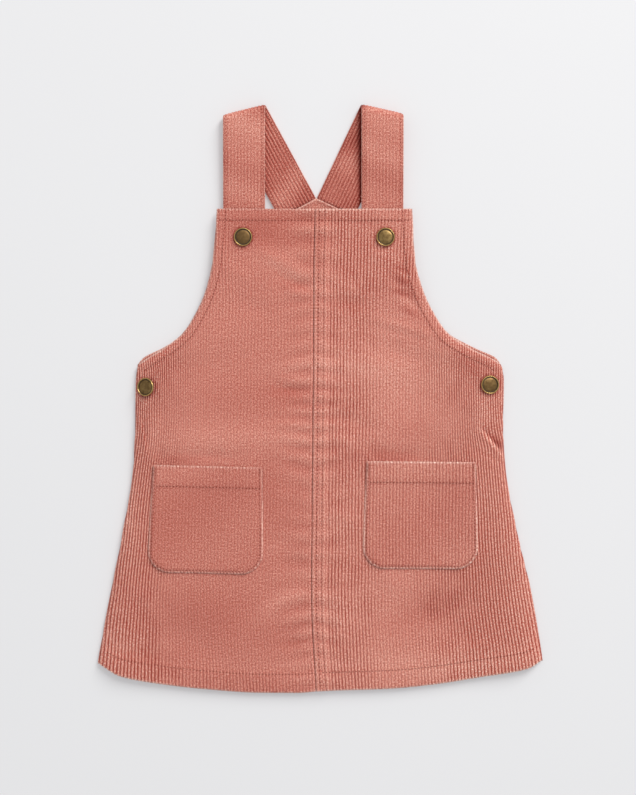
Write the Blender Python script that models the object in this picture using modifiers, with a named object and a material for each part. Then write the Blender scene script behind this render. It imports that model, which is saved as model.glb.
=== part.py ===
"""A baby's corduroy pinafore dress, buttoned up and laid on its back, +Z up.

The back panel lies flat on the surface. The two front halves lie over it, roll down to it at the
sides, and rise over the strap ends at the bib. Each strap is one flat strip: it leaves the bib,
turns down and back in a loop at the shoulder, and runs slanting to the peak of the back panel.
Lengths are metres. The tables are in millimetres, and MM turns them into metres.
"""

import math
from collections import namedtuple

import bmesh
import bpy
from mathutils import Matrix, Vector

MM = 0.001

# ---- driving dimensions -------------------------------------------------------------------------
CLOTH = 1.5 * MM  # one layer of corduroy with its pile
STRAP_THICK = 2.8 * MM  # two layers, turned and pressed
STRAP_WIDTH = 29.4 * MM
GAP = 0.3 * MM  # between any two pieces
HEM_Y = -206.55 * MM  # lowest point of the front hem
BIB_Y = 132.6 * MM  # top edge of the bib
HEM_FADE = 105.0 * MM  # the hem's curve dies out this far above the hem
ROLL = 15.0 * MM  # the front turns down to the back over this width at each side
SETTLE = 45.0 * MM  # and sinks to its middle height over this width inside that
BAND_WIDTH = 9.0 * MM  # stitched-down allowance of the centre front seam
BAND_RISE = 0.6 * MM
BAND_SLOPE = 1.0 * MM
POCKET_TALL = 74.8 * MM
POCKET_TOP_HALF = 38.1 * MM  # half widths of a pocket at its opening and at its foot
POCKET_FOOT_HALF = 39.9 * MM
POCKET_CORNER = 15.0 * MM
POCKET_HEM = 14.5 * MM
POCKET_REST = 0.15 * MM  # a pocket bridges the slight hollows of the front under it
SNAP_SIZE = 13.0 * MM
BIB_STUD_Z = 5.3 * MM  # foot of a bib stud, just clear of the strap under it
SIDE_STUD_SHIFT = 1.5 * MM  # a side stud sits this much nearer the middle than its tilted cap
STRAP_END_Y = 98.0 * MM  # the lower end of a strap, behind the bib
STRAP_BEND_LENGTH = 88.0 * MM  # a strap comes down from its shoulder loop over this length
STRAP_END_Z = 3.4 * MM  # middle of the strap where it ends behind the bib
BACK_INSET = 0.5 * MM  # the back shows this much less than the front at the sides

# ---- tables, in millimetres ---------------------------------------------------------------------
# Outer edges of the front at heights from hem corner to bib: the dress lies slightly twisted.
Side = namedtuple("Side", "y left right")
FRONT_SIDES = (
    Side(-206.0, -157.5, 158.0),
    Side(-183.7, -154.6, 154.6),
    Side(-134.0, -145.6, 146.3),
    Side(-92.0, -137.9, 137.2),
    Side(-50.0, -130.9, 129.5),
    Side(-20.0, -129.5, 127.7),
    Side(13.0, -128.8, 128.1),
    Side(22.0, -127.9, 126.9),
    Side(26.5, -123.5, 122.5),
    Side(34.0, -111.3, 107.1),
    Side(44.5, -97.3, 90.3),
    Side(55.0, -89.6, 81.9),
    Side(76.0, -79.8, 71.4),
    Side(97.0, -74.9, 65.8),
    Side(132.6, -71.8, 63.6),
)
# Armholes of the back, from the side up to the outer ends of the strap seams.
Arm = namedtuple("Arm", "y left right")
BACK_ARMS = (
    Arm(23.0, -128.6, 127.6),
    Arm(28.5, -124.0, 123.4),
    Arm(35.5, -110.6, 108.4),
    Arm(45.0, -95.5, 91.0),
    Arm(60.0, -80.0, 75.5),
    Arm(80.0, -65.0, 60.5),
    Arm(100.0, -51.0, 46.5),
    Arm(115.0, -39.5, 34.5),
)
# How far the hem edge lies above its lowest point, across the dress.
Hem = namedtuple("Hem", "x rise")
HEM = (
    Hem(-155.0, 20.5),
    Hem(-138.6, 11.7),
    Hem(-107.8, 6.1),
    Hem(-83.3, 3.3),
    Hem(-41.3, 0.5),
    Hem(-16.0, 0.4),
    Hem(0.0, 1.6),
    Hem(49.0, 3.3),
    Hem(78.4, 6.1),
    Hem(114.0, 11.7),
    Hem(145.0, 17.3),
    Hem(155.0, 22.5),
)
# The centre front seam bows a little as it lies.
Seam = namedtuple("Seam", "y x")
SEAM = (Seam(-206.0, -2.8), Seam(-134.0, -5.9), Seam(-20.0, -4.9), Seam(80.0, -4.3), Seam(132.6, -3.5))
# Heights of the front's outer face: in its middle, just inside the roll, and at its very edge.
Loft = namedtuple("Loft", "y middle shoulder edge")
LOFT = (
    Loft(-206.0, 5.4, 6.9, 2.5),
    Loft(-185.0, 5.0, 7.3, 2.4),
    Loft(-120.0, 4.6, 7.6, 2.4),
    Loft(-40.0, 4.5, 7.7, 2.4),
    Loft(22.0, 4.6, 7.4, 2.7),
    Loft(60.0, 5.0, 6.4, 4.0),
    Loft(92.0, 5.8, 8.2, 6.8),
    Loft(132.6, 6.6, 8.3, 7.6),
)
# Broad soft folds of the front: centre, half length, half width, direction and height.
Fold = namedtuple("Fold", "x y long wide degrees height")
FOLDS = (
    Fold(-58.0, -30.0, 62.0, 13.0, 2.0, 0.7),
    Fold(58.0, -22.0, 45.0, 14.0, 14.0, 0.7),
    Fold(32.0, 8.0, 30.0, 20.0, 10.0, 0.6),
    Fold(-30.0, 12.0, 34.0, 10.0, -8.0, -0.6),
    Fold(-38.0, -165.0, 70.0, 14.0, 32.0, 0.7),
    Fold(70.0, -150.0, 50.0, 13.0, 12.0, -0.7),
    Fold(24.0, -165.0, 26.0, 18.0, 80.0, 0.8),
    Fold(-109.0, 8.0, 13.0, 11.0, 90.0, 1.6),
)
Pocket = namedtuple("Pocket", "name x y degrees")
POCKETS = (Pocket("pocket_left", -78.4, -47.5, -1.5), Pocket("pocket_right", 70.7, -44.3, -0.4))
# A strap's front run lies at x; it turns through 2 x tilt at height y, in a loop of that radius.
Strap = namedtuple("Strap", "name x y lean tilt radius")
STRAPS = (
    Strap("strap_left", -53.2, 202.6, 1, 14.25, 2.7),
    Strap("strap_right", 43.7, 203.5, -1, 12.65, 3.7),
)
# A cap leans outwards by this many degrees more than the cloth under its middle.
Snap = namedtuple("Snap", "place x y lean")
BIB_SNAPS = (Snap("bib_left", -53.8, 112.8, 0.0), Snap("bib_right", 45.8, 112.8, 0.0))
SIDE_SNAPS = (Snap("side_left", -120.9, 8.0, 9.0), Snap("side_right", 118.6, 9.6, 0.0))
# Outlines of the snap's cap and of its stud, turned about Z, from the top of the axis to its foot.
Turned = namedtuple("Turned", "radius z")
CAP = (
    Turned(0.0, 1.5),
    Turned(4.5, 1.5),
    Turned(5.0, 2.1),
    Turned(5.6, 2.35),
    Turned(6.2, 2.1),
    Turned(6.5, 1.4),
    Turned(6.2, 0.5),
    Turned(5.4, 0.0),
    Turned(0.0, 0.0),
)
STUD = (Turned(0.0, 1.2), Turned(4.1, 1.2), Turned(4.5, 0.8), Turned(4.5, 0.0), Turned(0.0, 0.0))
FOLD_STEPS = 12  # rows round a strap's shoulder loop
TURN_STEPS = 22  # flats round a snap


# ---- small helpers ------------------------------------------------------------------------------
def column(table, key, name, at):
    """A column's value in metres where the key column is `at` metres, on a smooth line."""
    rows = [(getattr(row, key) * MM, getattr(row, name) * MM) for row in table]
    if at <= rows[0][0]:
        return rows[0][1]
    if at >= rows[-1][0]:
        return rows[-1][1]
    rises = [(b[1] - a[1]) / (b[0] - a[0]) for a, b in zip(rows, rows[1:])]
    slopes = [rises[0]]
    for before, after in zip(rises, rises[1:]):
        turns = before * after <= 0
        slopes.append(0.0 if turns else 2 * before * after / (before + after))
    slopes.append(rises[-1])
    i = max(n for n in range(len(rises)) if rows[n][0] <= at)
    span = rows[i + 1][0] - rows[i][0]
    t = (at - rows[i][0]) / span
    ease = t * t * (3 - 2 * t)
    bend = slopes[i] * t * (1 - t) ** 2 - slopes[i + 1] * t * t * (1 - t)
    return rows[i][1] * (1 - ease) + rows[i + 1][1] * ease + bend * span


def ease(t):
    """0 to 1 with flat ends."""
    t = min(max(t, 0.0), 1.0)
    return t * t * (3 - 2 * t)


def steps(start, end, count):
    """Evenly spaced values, the start among them and the end not."""
    return [start + (end - start) * n / count for n in range(count)]


def material(name, colour, roughness, metallic=0.0):
    made = bpy.data.materials.new(name)
    made.use_nodes = True
    shader = made.node_tree.nodes["Principled BSDF"]
    shader.inputs["Base Color"].default_value = (*colour, 1.0)
    shader.inputs["Roughness"].default_value = roughness
    shader.inputs["Metallic"].default_value = metallic
    return made


def put(name, bm, finish):
    """Make a mesh object of a bmesh and put it in the dress's collection."""
    mesh = bpy.data.meshes.new(name)
    bm.to_mesh(mesh)
    bm.free()
    mesh.materials.append(finish)
    made = bpy.data.objects.new(name, mesh)
    dress.objects.link(made)
    return made


def wall(made, thickness, offset):
    """Give an open sheet its thickness: offset -1 grows under its face, 0 both ways."""
    shell = made.modifiers.new("cloth", "SOLIDIFY")
    shell.thickness = thickness
    shell.offset = offset
    shell.use_even_offset = True
    shell.use_quality_normals = True


def mapped_grid(across, along, place):
    """A grid of points, each put at place(a, b) for its column value a and its row value b."""
    bm = bmesh.new()
    bmesh.ops.create_grid(bm, x_segments=len(across) - 1, y_segments=len(along) - 1, size=0.5)
    for vert in bm.verts:
        a = across[round((vert.co.x + 0.5) * (len(across) - 1))]
        b = along[round((vert.co.y + 0.5) * (len(along) - 1))]
        vert.co = place(a, b)
    return bm


# ---- the lie of the front -----------------------------------------------------------------------
def side_x(side, y):
    return column(FRONT_SIDES, "y", "left" if side < 0 else "right", y)


def hem_line(x, level):
    """Where a line that is level at the centre lies at x: near the hem it follows the hem."""
    fade = 1 - ease((level - HEM_Y) / HEM_FADE)
    return level + column(HEM, "x", "rise", x) * fade


def front_z(x, y):
    """Height of the front's outer face."""
    side = -1 if x < column(SEAM, "y", "x", y) else 1
    inside = side * (side_x(side, y) - x)
    middle, shoulder, edge = (column(LOFT, "y", name, y) for name in ("middle", "shoulder", "edge"))
    if inside < ROLL:
        turn = 1 - max(inside, 0.0) / ROLL
        z = edge + (shoulder - edge) * math.sqrt(1 - turn * turn)
    else:
        z = shoulder + (middle - shoulder) * ease((inside - ROLL) / SETTLE)
    for fold in FOLDS:
        angle = math.radians(fold.degrees)
        dx, dy = x - fold.x * MM, y - fold.y * MM
        u = (dx * math.cos(angle) + dy * math.sin(angle)) / (fold.long * MM)
        v = (dy * math.cos(angle) - dx * math.sin(angle)) / (fold.wide * MM)
        z += fold.height * MM * math.exp(-u * u - v * v) * ease(inside / ROLL)
    return z


def front_normal(x, y):
    """Direction that the front's outer face points in, from its slope over a snap's width."""
    reach = 2.5 * MM
    slope_x = (front_z(x + reach, y) - front_z(x - reach, y)) / (2 * reach)
    slope_y = (front_z(x, y + reach) - front_z(x, y - reach)) / (2 * reach)
    return Vector((-slope_x, -slope_y, 1)).normalized()


# ---- the pieces ---------------------------------------------------------------------------------
def front_half(name, side, finish):
    """One front half, from the centre seam to the side, with the bib in one piece with it."""
    field = 6
    reaches = [("band", 0.0), ("band", BAND_WIDTH), ("band", BAND_WIDTH + BAND_SLOPE)]
    reaches += [("field", n / field) for n in range(1, field)]
    reaches += [("roll", ROLL * share) for share in (1.0, 0.55, 0.22, 0.06, 0.0)]
    levels = steps(HEM_Y, -100 * MM, 7) + steps(-100 * MM, 16 * MM, 9) + steps(16 * MM, 50 * MM, 7)
    levels += steps(50 * MM, BIB_Y, 8) + [BIB_Y]

    def place(reach, level):
        kind, value = reach
        y = level
        for _ in range(5):
            edge = side_x(side, y)
            y = hem_line(edge, level)
        seam = column(SEAM, "y", "x", level) + side * GAP / 2
        first = seam + side * (BAND_WIDTH + BAND_SLOPE)
        last = edge - side * ROLL
        if kind == "band":
            x = seam + side * value
        elif kind == "field":
            x = first + (last - first) * value
        else:
            x = edge - side * value
        y = hem_line(x, level)
        raised = side > 0 and kind == "band" and value <= BAND_WIDTH
        return Vector((x, y, front_z(x, y) + (BAND_RISE if raised else 0.0)))

    if side < 0:
        reaches = reaches[::-1]
    wall(put(name, mapped_grid(reaches, levels, place), finish), CLOTH, -1)


def pocket(shape, finish):
    """A patch pocket with a straight hemmed top and round lower corners, on a front half."""
    straight = POCKET_TALL - POCKET_CORNER
    downs = [(0.0, 0.0), (POCKET_HEM, 0.0)]
    downs += [(down, 0.0) for down in steps(POCKET_HEM, straight, 3)[1:]]
    for n in range(5):
        angle = n * math.pi / 8
        downs.append((straight + POCKET_CORNER * math.sin(angle), 1 - math.cos(angle)))
    turn = math.radians(shape.degrees)

    def place(across, down):
        depth, pulled = down
        half = POCKET_TOP_HALF + (POCKET_FOOT_HALF - POCKET_TOP_HALF) * min(depth / straight, 1.0)
        s = across * (half - POCKET_CORNER * pulled)
        x = shape.x * MM + s * math.cos(turn) + depth * math.sin(turn)
        y = shape.y * MM + s * math.sin(turn) - depth * math.cos(turn)
        return Vector((x, y, front_z(x, y) + GAP + POCKET_REST + CLOTH))

    across = [n / 4 - 1 for n in range(9)]
    wall(put(shape.name, mapped_grid(across, downs[::-1], place), finish), CLOTH, -1)


def run_directions(strap):
    """Across a strap's shoulder fold, and down its back run, both level with the surface."""
    tilt = math.radians(strap.tilt)
    across = Vector((-strap.lean * math.sin(tilt), math.cos(tilt), 0))
    down = Vector((strap.lean * math.sin(2 * tilt), -math.cos(2 * tilt), 0))
    return across, down


def strap_crossing():
    """Point where the inner edges of the two back runs meet."""
    starts, downs = [], []
    for strap in STRAPS:
        down = run_directions(strap)[1]
        inward = Vector((-down.y, down.x, 0)) * strap.lean
        starts.append(Vector((strap.x * MM, strap.y * MM, 0)) + inward * STRAP_WIDTH / 2)
        downs.append(down)
    apart = starts[1] - starts[0]
    along = (apart.x * downs[1].y - apart.y * downs[1].x) / (downs[0].cross(downs[1]).z)
    return starts[0] + downs[0] * along


def strap(shape, finish):
    """A strap: a flat strip that lies along Y, then turned over at the shoulder and bent down."""
    across, down = run_directions(shape)
    turn_at = Vector((shape.x * MM, shape.y * MM, 0))
    radius = shape.radius * MM
    half_turn = math.pi * radius / 2
    low = STRAP_THICK / 2
    back_length = (strap_crossing() - turn_at).dot(down) - 0.4 * MM
    widest = half_turn + STRAP_WIDTH / 2 * math.tan(math.radians(shape.tilt)) + 3 * MM
    end = turn_at.y + back_length

    def place(side, row):
        kind, value = row
        if kind == "square":
            flat = Vector((turn_at.x + side, value, 0))
        else:
            rise = value - side * across.x
            flat = Vector((turn_at.x + side, turn_at.y + rise / across.y, 0))
        beyond = (flat - turn_at).dot(across)
        if beyond < -half_turn:
            down_from_loop = (-half_turn - beyond) / STRAP_BEND_LENGTH
            z = STRAP_END_Z + (low + 2 * radius - STRAP_END_Z) * (1 - ease(down_from_loop))
            return flat + Vector((0, 0, z))
        if beyond > half_turn:
            return flat - 2 * beyond * across + Vector((0, 0, low))
        angle = (beyond + half_turn) / radius
        moved = radius * math.sin(angle) - (beyond + half_turn)
        return flat + moved * across + Vector((0, 0, low + radius + radius * math.cos(angle)))

    rows = [("square", y) for y in steps(STRAP_END_Y, turn_at.y - widest, 9)]
    rows += [("fold", value) for value in steps(-half_turn, half_turn, FOLD_STEPS)]
    rows += [("fold", half_turn)]
    rows += [("square", y) for y in steps(turn_at.y + widest, end, 2) + [end]]
    sides = [STRAP_WIDTH * (n / 4 - 0.5) for n in range(5)]
    wall(put(shape.name, mapped_grid(sides, rows, place), finish), STRAP_THICK, 0)


def back(finish):
    """The back panel, flat on the surface, with a peak that the straps are sewn square into."""
    peak = strap_crossing()
    outline = []
    for side, name in ((-1, "left"), (1, "right")):
        shape = STRAPS[0] if side < 0 else STRAPS[1]
        down = run_directions(shape)[1]
        outward = Vector((down.y, -down.x, 0)) * shape.lean
        corner = peak + outward * STRAP_WIDTH
        hem = [x * MM for x in (12, 40, 70, 98, 124, 143)]
        points = [(side * x, hem_line(side * x, HEM_Y) + 2 * BACK_INSET) for x in hem]
        for y in steps(-184.0 * MM, 23.0 * MM, 8):
            points.append((side_x(side, y) - side * BACK_INSET, y))
        for y in steps(23.0 * MM, 115.0 * MM, 13):
            points.append((column(BACK_ARMS, "y", name, y), y))
        points.append((corner.x, corner.y))
        outline.append(points)
    loop = outline[1] + [(peak.x, peak.y)] + outline[0][::-1]
    shape = bpy.data.curves.new("back", "CURVE")
    shape.dimensions = "2D"
    shape.fill_mode = "BOTH"
    shape.extrude = CLOTH / 2
    edge = shape.splines.new("POLY")
    edge.points.add(len(loop) - 1)
    for point, (x, y) in zip(edge.points, loop):
        point.co = (x, y, 0, 1)
    edge.use_cyclic_u = True
    shape.materials.append(finish)
    made = bpy.data.objects.new("back", shape)
    made.location.z = CLOTH / 2
    dress.objects.link(made)


def turned(name, outline, finish):
    """A turned piece: its outline runs down the outer side and is spun about Z."""
    bm = bmesh.new()
    verts = [bm.verts.new((point.radius * MM, 0, point.z * MM)) for point in outline]
    for upper, lower in zip(verts, verts[1:]):
        bm.edges.new((upper, lower))
    made = put(name, bm, finish)
    spin = made.modifiers.new("turned", "SCREW")
    spin.steps = TURN_STEPS
    spin.render_steps = TURN_STEPS
    spin.use_merge_vertices = True
    spin.merge_threshold = 0.00001
    made.data.shade_smooth()
    return made


def snap(place, finish, stud_z, stud_shift):
    """A snap fastener: its cap on the front, and the stud that it is pressed on to."""
    at = Vector((place.x * MM, place.y * MM, 0))
    outwards = math.copysign(math.radians(place.lean), at.x)
    normal = Matrix.Rotation(outwards, 3, "Y") @ front_normal(at.x, at.y)
    seat = Vector((at.x, at.y, front_z(at.x, at.y)))
    lift = GAP
    for n in range(TURN_STEPS):
        angle = 2 * math.pi * n / TURN_STEPS
        for radius in (SNAP_SIZE / 2, SNAP_SIZE / 4):
            x, y = at.x + radius * math.cos(angle), at.y + radius * math.sin(angle)
            above = (Vector((x, y, front_z(x, y))) - seat).dot(normal)
            lift = max(lift, above + GAP)
    cap = turned("cap_" + place.place, CAP, finish)
    cap.location = seat + normal * lift
    cap.rotation_euler = normal.to_track_quat("Z", "Y").to_euler()
    stud = turned("stud_" + place.place, STUD, finish)
    stud.location = (at.x + stud_shift, at.y, stud_z)


for old in list(bpy.data.objects):
    bpy.data.objects.remove(old)
dress = bpy.data.collections.new("pinafore_dress")
bpy.context.scene.collection.children.link(dress)

corduroy = {
    name: material(name, colour, 0.9)
    for name, colour in (
        ("front_corduroy", (0.578, 0.209, 0.159)),
        ("back_corduroy", (0.52, 0.185, 0.145)),
        ("strap_corduroy", (0.56, 0.2, 0.155)),
        ("pocket_corduroy", (0.565, 0.205, 0.158)),
    )
}
brass = material("antique_brass", (0.2, 0.13, 0.05), 0.4, 0.9)

back(corduroy["back_corduroy"])
front_half("front_left", -1, corduroy["front_corduroy"])
front_half("front_right", 1, corduroy["front_corduroy"])
for pocket_shape in POCKETS:
    pocket(pocket_shape, corduroy["pocket_corduroy"])
for strap_shape in STRAPS:
    strap(strap_shape, corduroy["strap_corduroy"])
for bib_snap in BIB_SNAPS:
    snap(bib_snap, brass, BIB_STUD_Z, 0.0)
for side_snap in SIDE_SNAPS:
    snap(side_snap, brass, CLOTH + GAP, math.copysign(SIDE_STUD_SHIFT, -side_snap.x))
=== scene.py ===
# %% [markdown]
# # A child's corduroy pinafore, laid flat
# The dress has a back, two front halves joined by a topstitched seam, two patch pockets and two
# straps, and it closes with four pressed snaps. Everything here is made around the imported CAD
# model, so it is imported first.

# %% The imported model
import math
from collections import namedtuple

import bmesh
import bpy
import numpy as np
from mathutils import Matrix, Vector


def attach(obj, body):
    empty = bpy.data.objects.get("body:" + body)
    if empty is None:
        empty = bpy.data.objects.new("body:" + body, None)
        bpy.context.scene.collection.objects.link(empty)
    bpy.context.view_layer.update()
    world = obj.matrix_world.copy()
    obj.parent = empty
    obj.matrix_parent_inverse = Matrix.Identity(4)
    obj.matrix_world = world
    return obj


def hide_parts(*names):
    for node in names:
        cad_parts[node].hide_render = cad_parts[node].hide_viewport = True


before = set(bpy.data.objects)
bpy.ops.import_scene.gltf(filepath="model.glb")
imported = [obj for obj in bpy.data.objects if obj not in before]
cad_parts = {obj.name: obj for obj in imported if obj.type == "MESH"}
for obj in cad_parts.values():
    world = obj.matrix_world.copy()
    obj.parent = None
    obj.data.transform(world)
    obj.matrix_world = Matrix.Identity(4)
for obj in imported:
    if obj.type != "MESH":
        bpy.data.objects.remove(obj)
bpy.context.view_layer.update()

MM = 0.001

# %% [markdown]
# ## Camera
# Flat clothes are pictured from straight above. From close by, the straps would look wider than the
# hem, because they stand nearer the lens. So the camera is more than a metre up, with a long lens.

# %% Camera
VIEW_TALL = 556.5  # height of table that the picture takes in, in mm
VIEW_CENTRE = (-1.4, 0.7)
EYE = 1300.0  # lens above the table
LENS_PLANE = 6.0  # the cloth's mean height, which the scale is set for

lens = bpy.data.cameras.new("overhead")
lens.sensor_width = 36.0
lens.lens = lens.sensor_width * (EYE - LENS_PLANE) / VIEW_TALL
camera = bpy.data.objects.new("overhead", lens)
camera.location = (VIEW_CENTRE[0] * MM, VIEW_CENTRE[1] * MM, EYE * MM)
bpy.context.scene.collection.objects.link(camera)
bpy.context.scene.camera = camera
print("camera", round(lens.lens, 1), "mm lens at", EYE, "mm")

# %% [markdown]
# ## Light
# Corduroy only reads as ribs when light comes across it at a slant. One large lamp at the upper right
# gives that and soft shadows. A second lamp would fill the grooves and flatten the cloth, so the rest
# is left to a dim, even sky.

# %% Lamp and sky
def lamp(name, azimuth, elevation, distance, wide, tall, watts):
    """A soft box that faces the dress. Azimuth is counted from the right, anticlockwise."""
    around, up = math.radians(azimuth), math.radians(elevation)
    data = bpy.data.lights.new(name, "AREA")
    data.shape = "RECTANGLE"
    data.size, data.size_y = wide, tall
    data.energy = watts
    data.color = (1.0, 0.985, 0.96)
    made = bpy.data.objects.new(name, data)
    out = distance * math.cos(up)
    made.location = (out * math.cos(around), out * math.sin(around), distance * math.sin(up))
    made.rotation_euler = made.location.to_track_quat("Z", "Y").to_euler()
    bpy.context.scene.collection.objects.link(made)
    return made


lamp("key", 56, 43, 2.8, 0.7, 2.2, 60.0)
sky = bpy.data.worlds.new("soft_sky")
sky.use_nodes = True
sky.node_tree.nodes["Background"].inputs["Color"].default_value = (0.98, 0.99, 1.0, 1.0)
sky.node_tree.nodes["Background"].inputs["Strength"].default_value = 0.56
bpy.context.scene.world = sky
bpy.context.scene.view_settings.view_transform = "Standard"
print("one lamp and a sky")

# %% [markdown]
# ## Reading a table smoothly
# A pattern cutter gives a few measured points and draws a fair curve through them. `read` does the
# same: a cubic through the rows that never overshoots, worked on whole arrays of points at once. All
# the sewing below is in millimetres, and only a finished mesh is turned into metres.

# %% Fair curves
def ease(t):
    """0 to 1 with flat ends."""
    t = np.clip(t, 0.0, 1.0)
    return t * t * (3 - 2 * t)


def read(table, key, name, at):
    """The named column where the key column is `at`, on a fair curve through the rows."""
    keys = np.array([getattr(row, key) for row in table], float)
    values = np.array([getattr(row, name) for row in table], float)
    at = np.clip(np.asarray(at, float), keys[0], keys[-1])
    rises = np.diff(values) / np.diff(keys)
    before, after = rises[:-1], rises[1:]
    mean = 2 * before * after / np.where(before + after == 0, 1, before + after)
    slopes = np.concatenate([rises[:1], np.where(before * after <= 0, 0, mean), rises[-1:]])
    i = np.clip(np.searchsorted(keys, at, side="right") - 1, 0, len(rises) - 1)
    span = keys[i + 1] - keys[i]
    t = (at - keys[i]) / span
    bend = slopes[i] * t * (1 - t) ** 2 - slopes[i + 1] * t * t * (1 - t)
    return values[i] * (1 - ease(t)) + values[i + 1] * ease(t) + bend * span


def rows(*stops):
    """Rows from stop to stop. Each stop is (place, greatest spacing above it), the last (place, 0)."""
    made = []
    for (start, spacing), (end, _) in zip(stops, stops[1:]):
        count = math.ceil((end - start) / spacing - 0.001)
        made += [start + (end - start) * n / count for n in range(count)]
    return np.array(made + [stops[-1][0]])


print("half way up a ramp:", float(ease(0.5)))

# %% [markdown]
# ## The pattern pieces
# These are the outlines of the dress as it lies, the same as the solids have. The sides flare to the
# hem, the armholes sweep in to the bib, and the hem dips in the middle. The two columns of a table
# differ a little because a dress put down by hand is never quite straight.

# %% Outlines
HEM_Y, BIB_Y, HEM_FADE = -206.55, 132.6, 105.0
GAP = 0.3
ARMHOLE_Y = 22.0  # the side seam ends and the armhole starts here

Side = namedtuple("Side", "y left right")
FRONT_SIDES = (
    Side(-206.0, -157.5, 158.0),
    Side(-183.7, -154.6, 154.6),
    Side(-134.0, -145.6, 146.3),
    Side(-92.0, -137.9, 137.2),
    Side(-50.0, -130.9, 129.5),
    Side(-20.0, -129.5, 127.7),
    Side(13.0, -128.8, 128.1),
    Side(22.0, -127.9, 126.9),
    Side(26.5, -123.5, 122.5),
    Side(34.0, -111.3, 107.1),
    Side(44.5, -97.3, 90.3),
    Side(55.0, -89.6, 81.9),
    Side(76.0, -79.8, 71.4),
    Side(97.0, -74.9, 65.8),
    Side(132.6, -71.8, 63.6),
)
BACK_ARMS = (
    Side(23.0, -128.6, 127.6),
    Side(28.5, -124.0, 123.4),
    Side(35.5, -110.6, 108.4),
    Side(45.0, -95.5, 91.0),
    Side(60.0, -80.0, 75.5),
    Side(80.0, -65.0, 60.5),
    Side(100.0, -51.0, 46.5),
    Side(115.0, -39.5, 34.5),
)
Hem = namedtuple("Hem", "x rise")
HEM = (
    Hem(-155.0, 20.5),
    Hem(-138.6, 11.7),
    Hem(-107.8, 6.1),
    Hem(-83.3, 3.3),
    Hem(-41.3, 0.5),
    Hem(-16.0, 0.4),
    Hem(0.0, 1.6),
    Hem(49.0, 3.3),
    Hem(78.4, 6.1),
    Hem(114.0, 11.7),
    Hem(145.0, 17.3),
    Hem(155.0, 22.5),
)
Seam = namedtuple("Seam", "y x")
SEAM = (Seam(-206.0, -2.8), Seam(-134.0, -5.9), Seam(-20.0, -4.9), Seam(80.0, -4.3), Seam(132.6, -3.5))


def side_x(side, y):
    return read(FRONT_SIDES, "y", "left" if side < 0 else "right", y)


def seam_x(y):
    return read(SEAM, "y", "x", y)


def slant(outline, y):
    """How much longer a step along x is than a step square to an outline x(y)."""
    step = 0.5
    slope = (outline(y + step) - outline(y - step)) / (2 * step)
    return np.sqrt(1 + slope * slope)


def hem_line(x, level):
    """Where a line that is level at the centre lies at x."""
    return level + read(HEM, "x", "rise", x) * (1 - ease((level - HEM_Y) / HEM_FADE))


def level_of(x, y):
    """The level whose line passes through a point."""
    level = np.asarray(y, float)
    for _ in range(8):
        level = y - read(HEM, "x", "rise", x) * (1 - ease((level - HEM_Y) / HEM_FADE))
    return level


for place, y in (("chest", 0.0), ("hem", -206.0)):
    print(place, round(float(side_x(1, y) - side_x(-1, y)), 1), "mm wide")

# %% [markdown]
# ## How the front lies
# The front is nearly flat. It rolls down to the back at each side, stands a little higher just inside
# that roll, and climbs over the strap ends at the bib. Broad folds are soft hills on top. This is the
# solid's own height, so the cloth cannot leave it.

# %% Heights and broad folds
ROLL, SETTLE = 15.0, 45.0
Loft = namedtuple("Loft", "y middle shoulder edge")
LOFT = (
    Loft(-206.0, 5.4, 6.9, 2.5),
    Loft(-185.0, 5.0, 7.3, 2.4),
    Loft(-120.0, 4.6, 7.6, 2.4),
    Loft(-40.0, 4.5, 7.7, 2.4),
    Loft(22.0, 4.6, 7.4, 2.7),
    Loft(60.0, 5.0, 6.4, 4.0),
    Loft(92.0, 5.8, 8.2, 6.8),
    Loft(132.6, 6.6, 8.3, 7.6),
)
Fold = namedtuple("Fold", "x y long wide degrees height")
FOLDS = (
    Fold(-58.0, -30.0, 62.0, 13.0, 2.0, 0.7),
    Fold(58.0, -22.0, 45.0, 14.0, 14.0, 0.7),
    Fold(32.0, 8.0, 30.0, 20.0, 10.0, 0.6),
    Fold(-30.0, 12.0, 34.0, 10.0, -8.0, -0.6),
    Fold(-38.0, -165.0, 70.0, 14.0, 32.0, 0.7),
    Fold(70.0, -150.0, 50.0, 13.0, 12.0, -0.7),
    Fold(24.0, -165.0, 26.0, 18.0, 80.0, 0.8),
    Fold(-109.0, 8.0, 13.0, 11.0, 90.0, 1.6),
)


def inside_side(x, y):
    """Distance along x from the nearer side edge of the front."""
    left = x < seam_x(y)
    return np.where(left, x - side_x(-1, y), side_x(1, y) - x)


def front_height(x, y):
    """The broad lie of the front's face."""
    inside = np.maximum(inside_side(x, y), 0.0)
    middle, shoulder, edge = (read(LOFT, "y", name, y) for name in ("middle", "shoulder", "edge"))
    turn = np.clip(1 - inside / ROLL, 0, 1)
    rolled = edge + (shoulder - edge) * np.sqrt(1 - turn * turn)
    settled = shoulder + (middle - shoulder) * ease((inside - ROLL) / SETTLE)
    z = np.where(inside < ROLL, rolled, settled)
    for fold in FOLDS:
        angle = math.radians(fold.degrees)
        dx, dy = x - fold.x, y - fold.y
        u = (dx * math.cos(angle) + dy * math.sin(angle)) / fold.long
        v = (dy * math.cos(angle) - dx * math.sin(angle)) / fold.wide
        z = z + fold.height * np.exp(-u * u - v * v) * ease(inside / ROLL)
    return z


print("front is", round(float(front_height(-60.0, -60.0)), 2), "mm high beside the pocket")
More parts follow.
